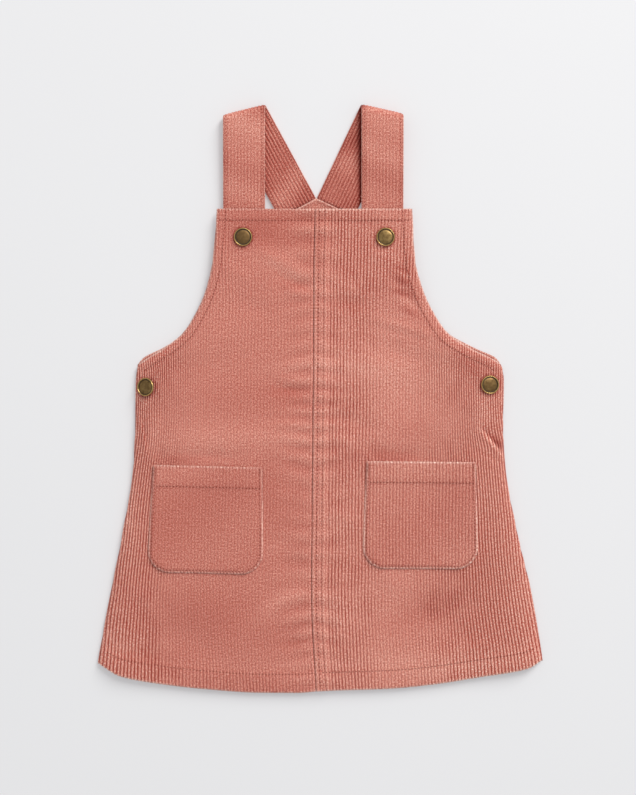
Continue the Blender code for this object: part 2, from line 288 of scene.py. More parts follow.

# %% [markdown]
# ## Creases
# A cloth simulation would give creases of its own choosing. Here each one is placed one by one: a soft
# ridge or trough along a short line, tapering at both ends. A tuck is sharper: the cloth sinks
# towards a line, then steps up over it. The seam pulls small puckers on both sides.

# %% Creases and puckers
Crease = namedtuple("Crease", "x0 y0 x1 y1 wide height")
CREASES = (
    # bib, left half
    Crease(-44, 104, -8, 86, 4.5, 0.75),
    Crease(-32, 87, -6, 77, 3.6, -0.65),
    Crease(-25, 77, -6, 71, 3.4, 0.45),
    Crease(-66, 92, -50, 84, 4.0, 0.35),
    Crease(-62, 68, -34, 60, 6.0, -0.35),
    Crease(-34, 10, -8, 3, 3.6, -0.65),
    Crease(-34, 15, -14, 12, 4.0, 0.35),
    # bib, right half
    Crease(34, 101, 52, 98, 4.0, 0.4),
    Crease(8, 80, 26, 75, 4.0, 0.45),
    Crease(10, 70, 34, 66, 3.6, -0.45),
    Crease(47, 88, 63, 70, 2.4, -0.3),
    Crease(57, 74, 72, 59, 2.4, -0.3),
    Crease(54, 90, 69, 73, 2.2, 0.25),
    Crease(36, 57, 80, 44, 2.4, 0.3),
    Crease(34, 51, 82, 38, 2.2, -0.25),
    Crease(16, 28, 74, 19, 9.0, 0.65),
    # waist
    Crease(-32, -18, -12, -18, 4.0, 0.4),
    Crease(-106, -28, -14, -27, 8.0, 0.3),
    Crease(-104, -39, -58, -41, 3.0, -0.45),
    Crease(-114, -38, -106, -42, 3.5, -0.5),
    Crease(4, -10, 40, -22, 5.0, -0.6),
    Crease(9, -27, 29, -36, 4.5, 0.5),
    Crease(24, -34, 78, -41, 3.8, -0.5),
    Crease(98, -3, 114, -6, 6.0, 0.45),
    Crease(96, 36, 127, 14, 4.0, -0.45),
    # skirt
    Crease(4, -78, 28, -89, 5.0, 0.5),
    Crease(-30, -112, -12, -116, 8.0, -0.5),
    Crease(-44, -155, -10, -131, 5.5, 0.55),
    Crease(-32, -166, -14, -170, 6.5, -0.5),
    Crease(-112, -162, -70, -178, 13.0, -0.65),
    Crease(14, -132, 15, -170, 6.0, 0.55),
    Crease(64, -146, 100, -156, 13.0, -0.6),
    Crease(56, -187, 128, -171, 7.0, 0.65),
    Crease(-147, -176, -108, -181, 6.0, -0.5),
    Crease(-128, -128, -118, -150, 5.0, 0.3),
    Crease(36, -118, 60, -134, 6.0, 0.35),
)
Tuck = namedtuple("Tuck", "x0 y0 x1 y1 above below deep lift")
TUCKS = (
    Tuck(113, -22, 130, -42, 6.0, 3.0, 2.4, 1.2),
    Tuck(104, -36, 128, -47, 4.5, 4.0, 0.8, 0.3),
    Tuck(-126, -12, -120, -38, 3.0, 2.2, 0.6, 1.1),
)
CREASE_GAIN = 1.5
PUCKER_EVERY, PUCKER_REACH = 12.5, 19.0


def across_line(mark, x, y):
    """Distance to the left of a mark's line, and a weight that dies out past its ends."""
    dx, dy = mark.x1 - mark.x0, mark.y1 - mark.y0
    length = math.hypot(dx, dy)
    share = ((x - mark.x0) * dx + (y - mark.y0) * dy) / length**2
    off = ((y - mark.y0) * dx - (x - mark.x0) * dy) / length
    return off, np.exp(-((np.abs(share - 0.5) / 0.5) ** 4))


def creased(x, y):
    """What the creases, the tucks and an uneven hand-laid wave add to the height."""
    z = 0.10 * np.sin(x / 17 + 1.3 * np.sin(y / 41)) + 0.09 * np.sin(y / 15 + x / 29 + 2.0)
    for crease in CREASES:
        off, weight = across_line(crease, x, y)
        z = z + CREASE_GAIN * crease.height * weight * np.exp(-((off / crease.wide) ** 2))
    for tuck in TUCKS:
        off, weight = across_line(tuck, x, y)
        sunk = -tuck.deep * np.exp(-np.maximum(off, 0) / tuck.above)
        lifted = tuck.lift * np.exp(-np.maximum(-off, 0) / tuck.below)
        step = ease(off / 1.6 + 0.5)
        z = z + weight * (step * sunk + (1 - step) * lifted)
    return z * ease(inside_side(x, y) / (0.45 * ROLL))


def puckered(x, y):
    """Small puckers that the seam's two rows of stitches pull up on both sides of it."""
    away = np.abs(x - seam_x(y))
    beat = 2 * math.pi * y / PUCKER_EVERY + 1.4 * np.sin(y / 31) + 0.9 * np.sin(y / 13 + 1)
    strength = 0.52 + 0.18 * np.sin(y / 23 + 2) + 0.12 * np.sin(y / 9)
    lean = away * 0.10 * np.sin(y / 37)
    return strength * np.sin(beat + lean) * np.exp(-((away / PUCKER_REACH) ** 2)) * ease(away / 3.0)


print(len(CREASES), "creases and", len(TUCKS), "tucks")

# %% [markdown]
# ## Where the snaps are
# Each cap is placed by its solid: the middle and the shortest direction of that solid's points give
# the cap's axis.

# %% Snap places
SNAP_PLACES = ("bib_left", "bib_right", "side_left", "side_right")
CAP_RADIUS = 6.5


def solid_axis(node):
    """Foot and direction of a turned solid, from its points."""
    points = np.array([vert.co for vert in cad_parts[node].data.vertices])
    points = np.unique(np.round(points, 7), axis=0)
    middle = points.mean(axis=0)
    axis = np.linalg.svd(points - middle, full_matrices=False)[2][2]
    axis = axis if axis[2] > 0 else -axis
    foot = ((points - middle) @ axis).min()
    return Vector(middle + axis * foot), Vector(axis)


for place in SNAP_PLACES:
    lean = solid_axis("cap_" + place)[1].angle((0, 0, 1))
    print("cap at", place, "leans", round(math.degrees(lean)), "degrees")

# %% [markdown]
# ## Nap and painted shade
# Pile leans whichever way it was last stroked. Where it leans away from the light a patch looks
# darker, and where ribs are pressed together their grooves close and nearly vanish. The patches are
# placed one by one too: `tone` lightens or darkens, partly for the nap and partly as painted light
# and shade of folds, tucks, ripples and puckers and as painted shadow beside the pockets and caps,
# and `open` says how far the grooves stand open.

# %% Patches of nap and painted shade
# Across the width, tone paints light and shade as well as nap: the rolled sides are painted lighter.
BrushedAndShaded = namedtuple("BrushedAndShaded", "x open tone")
BRUSHED_AND_SHADED = (
    BrushedAndShaded(-155, 1.20, 1.30),
    BrushedAndShaded(-126, 1.35, 1.24),
    BrushedAndShaded(-108, 0.55, 1.04),
    BrushedAndShaded(-85, 0.26, 0.95),
    BrushedAndShaded(-40, 0.26, 0.90),
    BrushedAndShaded(-14, 0.34, 0.93),
    BrushedAndShaded(0, 0.70, 1.10),
    BrushedAndShaded(14, 1.05, 1.20),
    BrushedAndShaded(32, 0.90, 1.17),
    BrushedAndShaded(48, 0.45, 1.08),
    BrushedAndShaded(64, 0.50, 1.06),
    BrushedAndShaded(80, 0.80, 1.12),
    BrushedAndShaded(100, 1.20, 1.19),
    BrushedAndShaded(126, 1.50, 1.24),
    BrushedAndShaded(155, 1.50, 1.28),
)
NapAndShade = namedtuple("NapAndShade", "x y wide tall degrees tone open")
# Each tone below paints nap together with painted light and shade of folds and ripples.
NAP_AND_SHADE_PATCHES = (
    # bib
    NapAndShade(-42, 118, 30, 14, 0, -0.26, -0.05),
    NapAndShade(0, 108, 10, 26, 0, -0.14, 0.0),
    NapAndShade(36, 122, 16, 8, 0, -0.10, 0.0),
    NapAndShade(46, 96, 12, 12, 0, 0.12, 0.0),
    NapAndShade(-24, 90, 24, 6, -28, 0.16, -0.10),
    NapAndShade(-18, 80, 18, 4, -20, -0.12, 0.0),
    NapAndShade(-55, 72, 30, 26, 0, 0.06, 0.15),
    NapAndShade(-66, 100, 9, 24, 0, 0.06, 0.25),
    NapAndShade(52, 93, 26, 20, 0, 0.05, 0.65),
    NapAndShade(14, 78, 12, 5, -12, 0.14, 0.0),
    NapAndShade(22, 67, 15, 5, -8, -0.12, 0.0),
    NapAndShade(58, 78, 12, 4, -50, -0.08, 0.3),
    # Painted light and shade: light and dark stripes along the ripples by the right armhole.
    NapAndShade(56, 91, 6, 1.8, -27, -0.34, 0.1),
    NapAndShade(59, 86.5, 6, 1.6, -27, 0.24, 0.1),
    NapAndShade(58, 82, 6, 1.8, -27, -0.38, 0.1),
    NapAndShade(56, 78, 6, 1.7, -25, 0.24, 0.1),
    NapAndShade(57, 74, 8, 1.8, -17, -0.36, 0.1),
    NapAndShade(62, 68, 8, 2.2, -25, 0.18, 0.0),
    NapAndShade(63, 60.5, 8, 2.2, -27, -0.34, 0.0),
    NapAndShade(-106, 38, 17, 32, 0, 0.10, 0.75),
    NapAndShade(60, 50, 24, 4, -18, 0.04, 0.0),
    # waist
    NapAndShade(-22, 20, 20, 7, 0, 0.10, 0.0),
    NapAndShade(-20, 3, 18, 4, -8, -0.18, 0.0),
    NapAndShade(-55, 0, 60, 15, 0, -0.08, 0.0),
    NapAndShade(-62, -28, 52, 10, 2, 0.10, -0.05),
    NapAndShade(-22, -27, 18, 8, 0, 0.08, 0.0),
    # Painted shadow above the left pocket.
    NapAndShade(-100, -43, 17, 3, 0, -0.26, 0.0),
    NapAndShade(-123, -24, 3, 12, -8, -0.10, 0.0),
    NapAndShade(-116, -22, 4, 12, -8, 0.14, 0.0),
    NapAndShade(-117, 16, 9, 12, 0, 0.0, 0.5),
    NapAndShade(24, 22, 26, 10, -8, 0.22, -0.1),
    NapAndShade(62, 12, 24, 20, 40, 0.10, 0.0),
    NapAndShade(66, -22, 18, 10, 0, -0.10, 0.0),
    NapAndShade(90, -18, 20, 14, 0, -0.05, -0.5),
    NapAndShade(110, 20, 24, 6, -38, -0.16, 0.1),
    NapAndShade(114, -9, 9, 14, 0, 0.26, 0.0),
    # Painted shade in the right tuck, and a painted highlight on its lip.
    NapAndShade(121.6, -28.6, 9, 1.7, -48, -0.42, 0.0),
    NapAndShade(125.4, -31.6, 4.5, 2.8, -48, -0.40, 0.0),
    NapAndShade(120.6, -31.8, 11.5, 1.0, -48, 0.85, 0.0),
    NapAndShade(113.5, -33, 9, 2.2, -42, 0.14, 0.0),
    NapAndShade(88, 22, 10, 14, 0, 0.16, 0.0),
    NapAndShade(-124, 3, 8, 7, 0, 0.22, 0.0),
    # Painted shadow above the right pocket.
    NapAndShade(46, -40, 20, 5, -4, -0.28, 0.2),
    NapAndShade(20, -31, 8, 6, 0, 0.14, 0.0),
    NapAndShade(16, -45, 11, 6, 0, -0.08, 0.0),
    # skirt
    NapAndShade(-36, -66, 8, 22, 0, -0.12, 0.0),
    NapAndShade(-21, -80, 15, 36, 0, -0.08, 0.0),
    NapAndShade(-23, -101, 15, 4, 12, 0.10, 0.0),
    NapAndShade(-86, -152, 44, 24, -8, -0.20, 0.0),
    NapAndShade(-28, -142, 22, 6, 34, 0.16, 0.0),
    NapAndShade(-24, -170, 18, 7, -10, -0.10, 0.0),
    NapAndShade(-134, -78, 6, 26, 0, 0.22, 0.0),
    NapAndShade(-142, -172, 16, 10, -10, 0.14, 0.0),
    NapAndShade(-110, -180, 26, 5, 0, -0.10, 0.0),
    NapAndShade(17, -87, 9, 7, 0, 0.22, 0.0),
    NapAndShade(14, -151, 12, 13, 0, 0.20, 0.0),
    NapAndShade(80, -146, 22, 11, 22, -0.16, 0.2),
    NapAndShade(48, -160, 17, 7, 15, -0.12, -0.2),
    NapAndShade(112, -66, 12, 24, 0, 0.14, 0.1),
    NapAndShade(140, -140, 13, 60, 10, 0.12, 0.0),
    NapAndShade(50, -184, 110, 7, 4, 0.12, 0.0),
    NapAndShade(104, -187, 40, 7, 8, 0.32, 0.0),
    NapAndShade(-118, -190, 24, 8, -9, 0.0, 0.4),
    NapAndShade(-80, -196, 26, 8, -6, 0.0, 0.4),
    NapAndShade(-40, -200, 26, 7, -2, 0.0, 0.4),
    NapAndShade(-104, -70, 9, 45, 0, 0.04, 0.35),
)


PUCKER_SHADING = 0.24  # painted light and shade: how much lighter a pucker's crest, and darker its trough, is painted for each mm of it
CAP_SHADE = 0.5  # how much darker the pile is painted in the shadow ring beside a cap


def cap_shadow_ring(x, y):
    """1 in the thin ring of painted shadow on the cloth beside a snap's cap."""
    ring = np.zeros(np.shape(x))
    for place in SNAP_PLACES:
        foot, _ = solid_axis("cap_" + place)
        away = np.hypot(x - foot.x / MM, y - foot.y / MM)
        ring = np.maximum(ring, np.exp(-(((away - CAP_RADIUS - 0.1) / 0.75) ** 2)))
    return ring


def nap_and_shade(x, y):
    """Tone and openness of the pile at each point of the front. The tone carries painted light and shade as
    well as nap.
    """
    opened, tone = (read(BRUSHED_AND_SHADED, "x", name, x) for name in ("open", "tone"))
    for patch in NAP_AND_SHADE_PATCHES:
        angle = math.radians(patch.degrees)
        dx, dy = x - patch.x, y - patch.y
        u = (dx * math.cos(angle) + dy * math.sin(angle)) / patch.wide
        v = (dy * math.cos(angle) - dx * math.sin(angle)) / patch.tall
        near = np.exp(-u * u - v * v)
        tone = tone + patch.tone * near
        opened = opened + patch.open * near
    # Painted light and shade of the seam's puckers, then a painted shadow ring beside the caps.
    tone = tone + PUCKER_SHADING * puckered(x, y)
    return tone * (1 - CAP_SHADE * cap_shadow_ring(x, y)), opened.clip(0.12, 1.5)


print(len(NAP_AND_SHADE_PATCHES), "patches of nap")

# %% [markdown]
# ## Hems and topstitching
# At a hem the cloth is turned in, so the strip between the fold and its stitching is one layer
# thicker, and the stitching itself sinks into the pile. `nearest_stitching` gives the distance to
# the closest row, for a groove in the cloth and a line of painted shade along it in its finish.

# %% Turned edges
HEM_DEEP, BIB_DEEP, ARM_DEEP = 13.0, 8.0, 6.0
BAND_WIDTH, BAND_RISE, BAND_SLOPE = 9.0, 0.6, 1.2
BAND_ROWS = (3.3, 6.8)
TURNED_RISE = 0.42
STITCH_SINK, STITCH_REACH = 0.2, 0.75  # depth and half width of the dent along a row of stitches
FAR = 9.0  # stands for any distance too great to matter


def square_side(x, y):
    """Distance square to the nearer side edge or armhole."""
    left = x < seam_x(y)
    lean = np.where(left, slant(lambda h: side_x(-1, h), y), slant(lambda h: side_x(1, h), y))
    return inside_side(x, y) / lean


def turned_rise(x, y):
    level = level_of(x, y)
    free = ease((y - ARMHOLE_Y + 2) / 5)
    arm = (1 - ease((square_side(x, y) - ARM_DEEP) / 1.4)) * free
    hem = 1 - ease((level - HEM_Y - HEM_DEEP) / 1.6)
    bib = 1 - ease((BIB_Y - y - BIB_DEEP) / 1.4)
    band = (x > seam_x(y)) * (1 - ease((x - seam_x(y) - BAND_WIDTH) / BAND_SLOPE))
    return TURNED_RISE * np.maximum(np.maximum(arm, hem), bib) + BAND_RISE * band


def nearest_stitching(x, y):
    level = level_of(x, y)
    arm = np.where(y > ARMHOLE_Y + 1.0, np.abs(square_side(x, y) - ARM_DEEP), FAR)
    found = np.minimum(arm, np.abs(level - HEM_Y - HEM_DEEP))
    found = np.minimum(found, np.abs(BIB_Y - y - BIB_DEEP))
    for row in BAND_ROWS:
        found = np.minimum(found, np.where(x > seam_x(y), np.abs(x - seam_x(y) - row), FAR))
    return np.minimum(found, FAR)


def front_face(x, y):
    """Height of the front's face under its pile, with all its creases, hems and grooves."""
    groove = STITCH_SINK * np.exp(-((nearest_stitching(x, y) / STITCH_REACH) ** 2))
    return front_height(x, y) + creased(x, y) + puckered(x, y) + turned_rise(x, y) - groove


print("bib hem stands", round(float(front_face(-30.0, 128.0) - front_face(-30.0, 118.0)), 2), "mm proud")

# %% [markdown]
# ## Ribs
# Corduroy is woven with pile loops in rows, which are cut and brushed into round ribs, the wales.
# Here there are 11 to the inch. The ribs are real geometry, four columns of points to a rib. A rib
# is a column of the grid, so ribs run where the cloth runs, and its edges cut across them.

# %% Wales
WALE = 25.4 / 11
RIB_HEIGHT = 0.6
PHASES = (0.0, 0.22, 0.5, 0.78)
PLAIN_PHASES = (0.0, 0.33, 0.67)
EDGE = (0.0, 0.3, 0.8, 1.6)  # extra columns this far inside every edge, for its rounding
Squeeze = namedtuple("Squeeze", "y left right")
SQUEEZE = (
    Squeeze(-206.0, -0.05, -0.01),
    Squeeze(-130.0, 0.09, 0.07),
    Squeeze(-60.0, 0.21, 0.17),
    Squeeze(0.0, 0.30, 0.26),
    Squeeze(40.0, 0.28, 0.25),
    Squeeze(132.6, 0.08, 0.08),
)
SQUEEZE_FROM, SQUEEZE_OVER = 22.0, 22.0  # ribs from the seam where they start to crowd, and fully do


def rib(u, opened=1.0):
    """Height of the pile over the ground cloth at rib number u. Each rib is round, and the groove
    beside it is shallower where the ribs are pressed together."""
    groove = (2 * (u - np.floor(u)) - 1) ** 2
    return RIB_HEIGHT * (1 - groove * (0.25 + 0.75 * np.minimum(opened, 1.0)))


def rib_numbers(count, phases=PHASES):
    """Columns for ribs 0 to count."""
    return np.array([n + phase for n in range(count) for phase in phases] + [float(count)])


def reach(u, side, y):
    """How far from the seam rib u lies: towards the rolled sides the ribs are seen closer."""
    t = np.clip((u - SQUEEZE_FROM) / SQUEEZE_OVER, 0, 1)
    crowded = SQUEEZE_OVER * (t**3 - t**4 / 2) + np.maximum(u - SQUEEZE_FROM - SQUEEZE_OVER, 0)
    amount = read(SQUEEZE, "y", "left" if side < 0 else "right", y)
    return WALE * (u - amount * crowded)


print("a rib is", round(WALE, 2), "mm wide")

# %% [markdown]
# ## A sheet of cloth
# Every piece is made by one function. It starts as a bmesh grid whose points are moved to where the
# cloth lies. Columns that fall outside the outline are gathered on it and merged, so the ribs end on
# the edge as cut cloth does. `solidify` gives the wall, and the ribs stand up along the normals. The
# UV map counts ribs across and millimetres along, so the finish can follow the weave.

# %% Fitting columns between two edges
ROUND = 1.3  # radius of a turned edge


def fit(ribs, free_x, left, right, left_lean, right_lean):
    """Columns of x, and the rib number at each, between a left and a right outline, row by row."""
    x_rows, u_rows = [], []
    for n, free in enumerate(free_x):
        room = right[n] - left[n]
        margins = [min(EDGE[-1] * lean, 0.45 * room) / EDGE[-1] for lean in (left_lean[n], right_lean[n])]
        first = [left[n] + d * margins[0] for d in EDGE]
        last = [right[n] - d * margins[1] for d in EDGE[::-1]]
        x = np.concatenate([first, np.clip(free, first[-1], last[0]), last])
        x_rows.append(x)
        u_rows.append(np.interp(x, free, ribs))
    return np.array(x_rows), np.array(u_rows)


def rounding(distance, radius=ROUND):
    """How far a turned edge has dropped at a distance from it."""
    inward = np.clip(1 - distance / radius, 0, 1)
    return radius * (1 - np.sqrt(1 - np.minimum(inward, 0.995) ** 2))


# %% [markdown]
# ## Wall and ribs
# A Solidify modifier gives one thickness everywhere. Here the two faces differ, ribs on one and plain
# cloth on the other. So `solidify` only makes the wall and closes its rim, and then each of its points
# is put at its own height. `store` keeps what the finish needs to know about each point.

# %% The sheet itself
LAYER = 1.25  # ground cloth under the pile


def cloth(name, points, ribs, along, up, down, pile, groove, fold, nap_and_shade, finish):
    """A closed sheet. Up and down are the rises of its two faces from its points; pile is 1 where
    a face shows ribs, groove the distance to stitching, fold 1 at a turned edge, where the finish paints
    a highlight, and the pair before the finish the tone, painted light and shade included, and the openness
    of the pile."""
    count_rows, count_columns = points.shape[:2]
    bm = bmesh.new()
    bmesh.ops.create_grid(bm, x_segments=count_columns - 1, y_segments=count_rows - 1, size=0.5)
    mark = bm.verts.layers.int.new("mark")
    right_side = bm.verts.layers.int.new("right_side")
    for vert in bm.verts:
        column = round((vert.co.x + 0.5) * (count_columns - 1))
        row = round((vert.co.y + 0.5) * (count_rows - 1))
        vert[mark] = row * count_columns + column
        vert.co = points[row, column] * MM
    bmesh.ops.remove_doubles(bm, verts=bm.verts[:], dist=0.01 * MM)
    bm.normal_update()
    upper = bm.verts[:]
    normals = np.zeros((count_rows * count_columns, 3))
    for vert in upper:
        normals[vert[mark]] = vert.normal
    bmesh.ops.solidify(bm, geom=bm.faces[:], thickness=MM)
    for vert in upper:
        vert[right_side] = 1
    mesh = bpy.data.meshes.new(name)
    bm.to_mesh(mesh)
    bm.free()

    marks, face_up = (np.zeros(len(mesh.vertices), np.int32) for _ in range(2))
    for layer, values in (("mark", marks), ("right_side", face_up)):
        mesh.attributes[layer].data.foreach_get("value", values)
        mesh.attributes.remove(mesh.attributes[layer])
    face_up = face_up == 1
    rise = np.where(face_up, up.ravel()[marks], -down.ravel()[marks])
    placed = points.reshape(-1, 3)[marks] + normals[marks] * rise[:, None]
    mesh.vertices.foreach_set("co", (placed * MM).ravel())
    store(mesh, "pile", np.where(face_up, pile[0].ravel()[marks], pile[1].ravel()[marks]))
    store(mesh, "groove", np.where(face_up, groove.ravel()[marks], FAR))
    store(mesh, "fold", fold.ravel()[marks])
    store(mesh, "tone", nap_and_shade[0].ravel()[marks])
    store(mesh, "open", nap_and_shade[1].ravel()[marks])

    corner = np.zeros(len(mesh.loops), np.int32)
    mesh.loops.foreach_get("vertex_index", corner)
    weave = np.stack([ribs.ravel()[marks][corner], along.ravel()[marks][corner]], axis=1)
    mesh.uv_layers.new(name="weave").data.foreach_set("uv", weave.astype(np.float32).ravel())
    return finished(name, mesh, finish)


def store(mesh, name, values):
    """Keep a number for every point, for the finish to read."""
    mesh.attributes.new(name, "FLOAT", "POINT").data.foreach_set("value", values.astype(np.float32))


def finished(name, mesh, *finishes):
    """Put a mesh in the scene, smooth, with its finish."""
    for finish in finishes:
        mesh.materials.append(finish)
    mesh.shade_smooth()
    mesh.update()
    made = bpy.data.objects.new(name, mesh)
    bpy.context.scene.collection.objects.link(made)
    triangles = sum(len(face.vertices) - 2 for face in mesh.polygons)
    print(name, len(mesh.vertices), "points", triangles, "triangles")
    return made


# %% [markdown]
# ## Mixing a finish
# Shader maths reads best as sums. `Value` wraps a socket so that `1 - mask` or `a * b` adds the Math
# node it needs, and `Finish.node` makes any other node from its type, its settings and its inputs.

# %% Values and finishes
class Value:
    """A node's output, on which Python's operators make Math nodes."""

    def __init__(self, finish, socket):
        self.finish, self.socket = finish, socket

    def math(self, operation, *others, flip=False):
        values = [self, *others][::-1] if flip else [self, *others]
        return self.finish.node("ShaderNodeMath", {"operation": operation}, dict(enumerate(values)))

    def __add__(self, other):
        return self.math("ADD", other)

    def __sub__(self, other):
        return self.math("SUBTRACT", other)

    def __mul__(self, other):
        return self.math("MULTIPLY", other)

    def __pow__(self, other):
        return self.math("POWER", other)

    def __rsub__(self, other):
        return self.math("SUBTRACT", other, flip=True)

    __radd__, __rmul__ = __add__, __mul__


class Finish:
    """A material in the making."""

    def __init__(self, name):
        self.material = bpy.data.materials.new(name)
        self.material.use_nodes = True
        self.tree = self.material.node_tree
        self.shader = self.tree.nodes["Principled BSDF"]

    def node(self, kind, settings=None, inputs=None, output=0):
        made = self.tree.nodes.new(kind)
        for key, value in (settings or {}).items():
            setattr(made, key, value)
        for key, value in (inputs or {}).items():
            self.put(made.inputs[key], value)
        return Value(self, made.outputs[output])

    def put(self, socket, value):
        if isinstance(value, Value):
            self.tree.links.new(value.socket, socket)
        else:
            socket.default_value = value

    def set(self, **inputs):
        for key, value in inputs.items():
            self.put(self.shader.inputs[key.replace("_", " ")], value)

    def blend(self, share, first, second, how="MIX"):
        """Mix two colours."""
        settings = {"data_type": "RGBA", "blend_type": how}
        return self.node("ShaderNodeMix", settings, {0: share, 6: first, 7: second}, output=2)

    def step(self, value, low, high):
        """0 below low and 1 above high, with soft ends."""
        inputs = {"Value": value, "From Min": low, "From Max": high}
        return self.node("ShaderNodeMapRange", {"interpolation_type": "SMOOTHSTEP"}, inputs)

    def stored(self, name):
        return self.node("ShaderNodeAttribute", {"attribute_name": name}, output=2)

    def noise(self, vector, scale, detail=2.0, rough=0.5):
        inputs = {"Vector": vector, "Scale": scale, "Detail": detail, "Roughness": rough}
        return self.node("ShaderNodeTexNoise", {}, inputs)

    def grey(self, value):
        """A number as a colour."""
        return self.node("ShaderNodeCombineXYZ", {}, {0: value, 1: value, 2: value})


def colour(red, green, blue):
    return (red, green, blue, 1.0)


print("Value and Finish are ready")

# %% [markdown]
# ## Corduroy
# The pile stands up and takes in light between its ribs, so grooves are painted deeper and redder as
# shade, and crests paler. Brushed tufts give each rib a broken, speckled line. Light that is lost in
# dyed pile loses its green and blue first, so a shaded patch is redder, not just darker. Fibres at a
# turned edge catch the light, painted as an almost pink highlight. The wrong side has no pile at all:
# a smooth, redder twill. The sheen is a constant of the cloth, so it is set on the shader's own sockets.

# %% Corduroy finish
# The groove colour is darkened as painted shade between the ribs.
CREST, GROOVE_SHADE = (0.70, 0.237, 0.178), (0.345, 0.046, 0.030)
# The pale fold colour is a painted highlight for turned edges.
PINK_TIP, FOLD_HIGHLIGHT = (0.88, 0.52, 0.43), (0.90, 0.56, 0.47)
WRONG_SIDE = (0.47, 0.125, 0.10)
DEEPENING = (0.6, 1.2, 1.26)  # powers of the shade for red, green and blue


def corduroy(name, tone):
    """Tone is 1 for the cloth's own colour, and less where the pile lies darker."""
    finish = Finish(name)
    weave = finish.node("ShaderNodeUVMap", {"uv_map": "weave"})
    across = finish.node("ShaderNodeSeparateXYZ", {}, {0: weave}, output=0)
    along = finish.node("ShaderNodeSeparateXYZ", {}, {0: weave}, output=1)
    pile, groove, fold = (finish.stored(kept) for kept in ("pile", "groove", "fold"))
    patch, opened = (finish.stored(kept) for kept in ("tone", "open"))

    def grain(wide, tall, detail=2.0):
        """Noise whose grains are this wide and tall, in mm."""
        place = {0: across * (WALE / wide), 1: along * (1 / tall)}
        return finish.noise(finish.node("ShaderNodeCombineXYZ", {}, place), 1.0, detail)

    wander = (grain(2.5, 5.0, 1.0) - 0.5) * 0.34
    off_crest = ((across + wander).math("FRACT") - 0.5).math("ABSOLUTE") * 2
    crest = 1 - off_crest**1.7
    tufts = finish.step(grain(0.5, 1.1), 0.38, 0.62)
    fibres = finish.step(grain(0.3, 0.4), 0.4, 0.6)
    matted = grain(9.0, 14.0)
    opened = opened * (0.45 + 1.1 * matted)
    shown = 1 - (1 - crest) * opened.math("MINIMUM", 1.3)

    ribbed = finish.blend(shown, colour(*GROOVE_SHADE), colour(*CREST))
    tipped = finish.step(tufts + 0.5 * fibres, 0.75, 1.45) * shown * 0.42
    ribbed = finish.blend(tipped, ribbed, colour(*PINK_TIP))
    # Painted highlight where the pile turns over an edge.
    highlit_fold = fold * (0.35 + 0.55 * crest) * (0.7 + 0.3 * tufts)
    ribbed = finish.blend(highlit_fold, ribbed, colour(*FOLD_HIGHLIGHT))
    # Painted shade: the cloth is darkened along rows of stitching, in their groove.
    sunk = 1 - finish.step(groove, 0.05, 1.15)
    shade = tone * patch * (0.46 + 0.62 * tufts + 0.46 * fibres) * (1 - 0.13 * sunk)
    deepened = finish.node("ShaderNodeCombineXYZ", {}, {n: shade**power for n, power in enumerate(DEEPENING)})
    ribbed = finish.blend(1.0, ribbed, deepened, "MULTIPLY")

    twill = grain(0.6, 1.6)
    plain = finish.blend(1.0, colour(*WRONG_SIDE), finish.grey(0.80 + 0.40 * twill), "MULTIPLY")
    finish.set(Base_Color=finish.blend(pile, plain, ribbed))

    piled = crest * (0.12 + 0.5 * opened) + tufts * 0.36 + fibres * 0.26 - sunk * 0.3
    height = pile * piled + (1 - pile) * twill * 0.25
    bump = finish.node("ShaderNodeBump", {}, {"Strength": 0.8, "Distance": 0.4 * MM, "Height": height})
    finish.set(Normal=bump, Roughness=0.98 - 0.13 * crest)
    finish.set(Sheen_Weight=0.25, Sheen_Roughness=0.45, Sheen_Tint=colour(1.0, 0.72, 0.66))
    finish.set(Specular_IOR_Level=0.2)
    return finish.material


front_corduroy = corduroy("front_corduroy", 1.0)
back_corduroy = corduroy("back_corduroy", 0.92)
strap_corduroy = corduroy("strap_corduroy", 0.97)
pocket_corduroy = corduroy("pocket_corduroy", 0.98)

# %% [markdown]
# ## Front halves
# Each half runs from the centre seam to the side, with its part of the bib. Its rows are closer
# together where an edge turns, at the armhole and where a crease is sharp. The right half has its
# seam allowance stitched down, so a band of it stands higher beside the seam.

# %% Front halves
FRONT_RIBS = 70
FRONT_ROWS = rows(
    (HEM_Y, 0.45),
    (HEM_Y + 1.8, 2.8),
    (HEM_Y + HEM_DEEP - 1.5, 0.75),
    (HEM_Y + HEM_DEEP + 1.5, 2.9),
    (-52.0, 1.9),
    (-16.0, 2.4),
    (18.0, 1.35),
    (60.0, 2.2),
    (BIB_Y - BIB_DEEP - 1.5, 0.75),
    (BIB_Y - BIB_DEEP + 1.5, 2.4),
    (BIB_Y - 1.8, 0.45),
    (BIB_Y, 0),
)
Drift = namedtuple("Drift", "x y wide tall shift")
FULL = {-1: (0.1, 0.8), 1: (0.7, 1.5)}  # pile stands this proud of the outline, high and low
DRIFTS = (
    Drift(-120.0, -6.0, 9.0, 12.0, -1.3),
    Drift(-118.0, 18.0, 9.0, 8.0, 1.0),
    Drift(114.0, -22.0, 8.0, 11.0, -1.5),
    Drift(121.0, -34.0, 8.0, 8.0, 1.2),
    Drift(-118.0, -30.0, 9.0, 12.0, 0.9),
    Drift(60.0, 78.0, 10.0, 12.0, -0.8),
    Drift(-60.0, 70.0, 14.0, 20.0, 0.7),
)


def drifted(x, y):
    """Ribs are pulled sideways a little wherever the cloth is creased."""
    shift = 0.22 * np.sin(y / 21 + x / 33) + 0.16 * np.sin(y / 8.5 + x / 11)
    for drift in DRIFTS:
        near = ((x - drift.x) / drift.wide) ** 2 + ((y - drift.y) / drift.tall) ** 2
        shift = shift + drift.shift * np.exp(-near)
    return x + shift


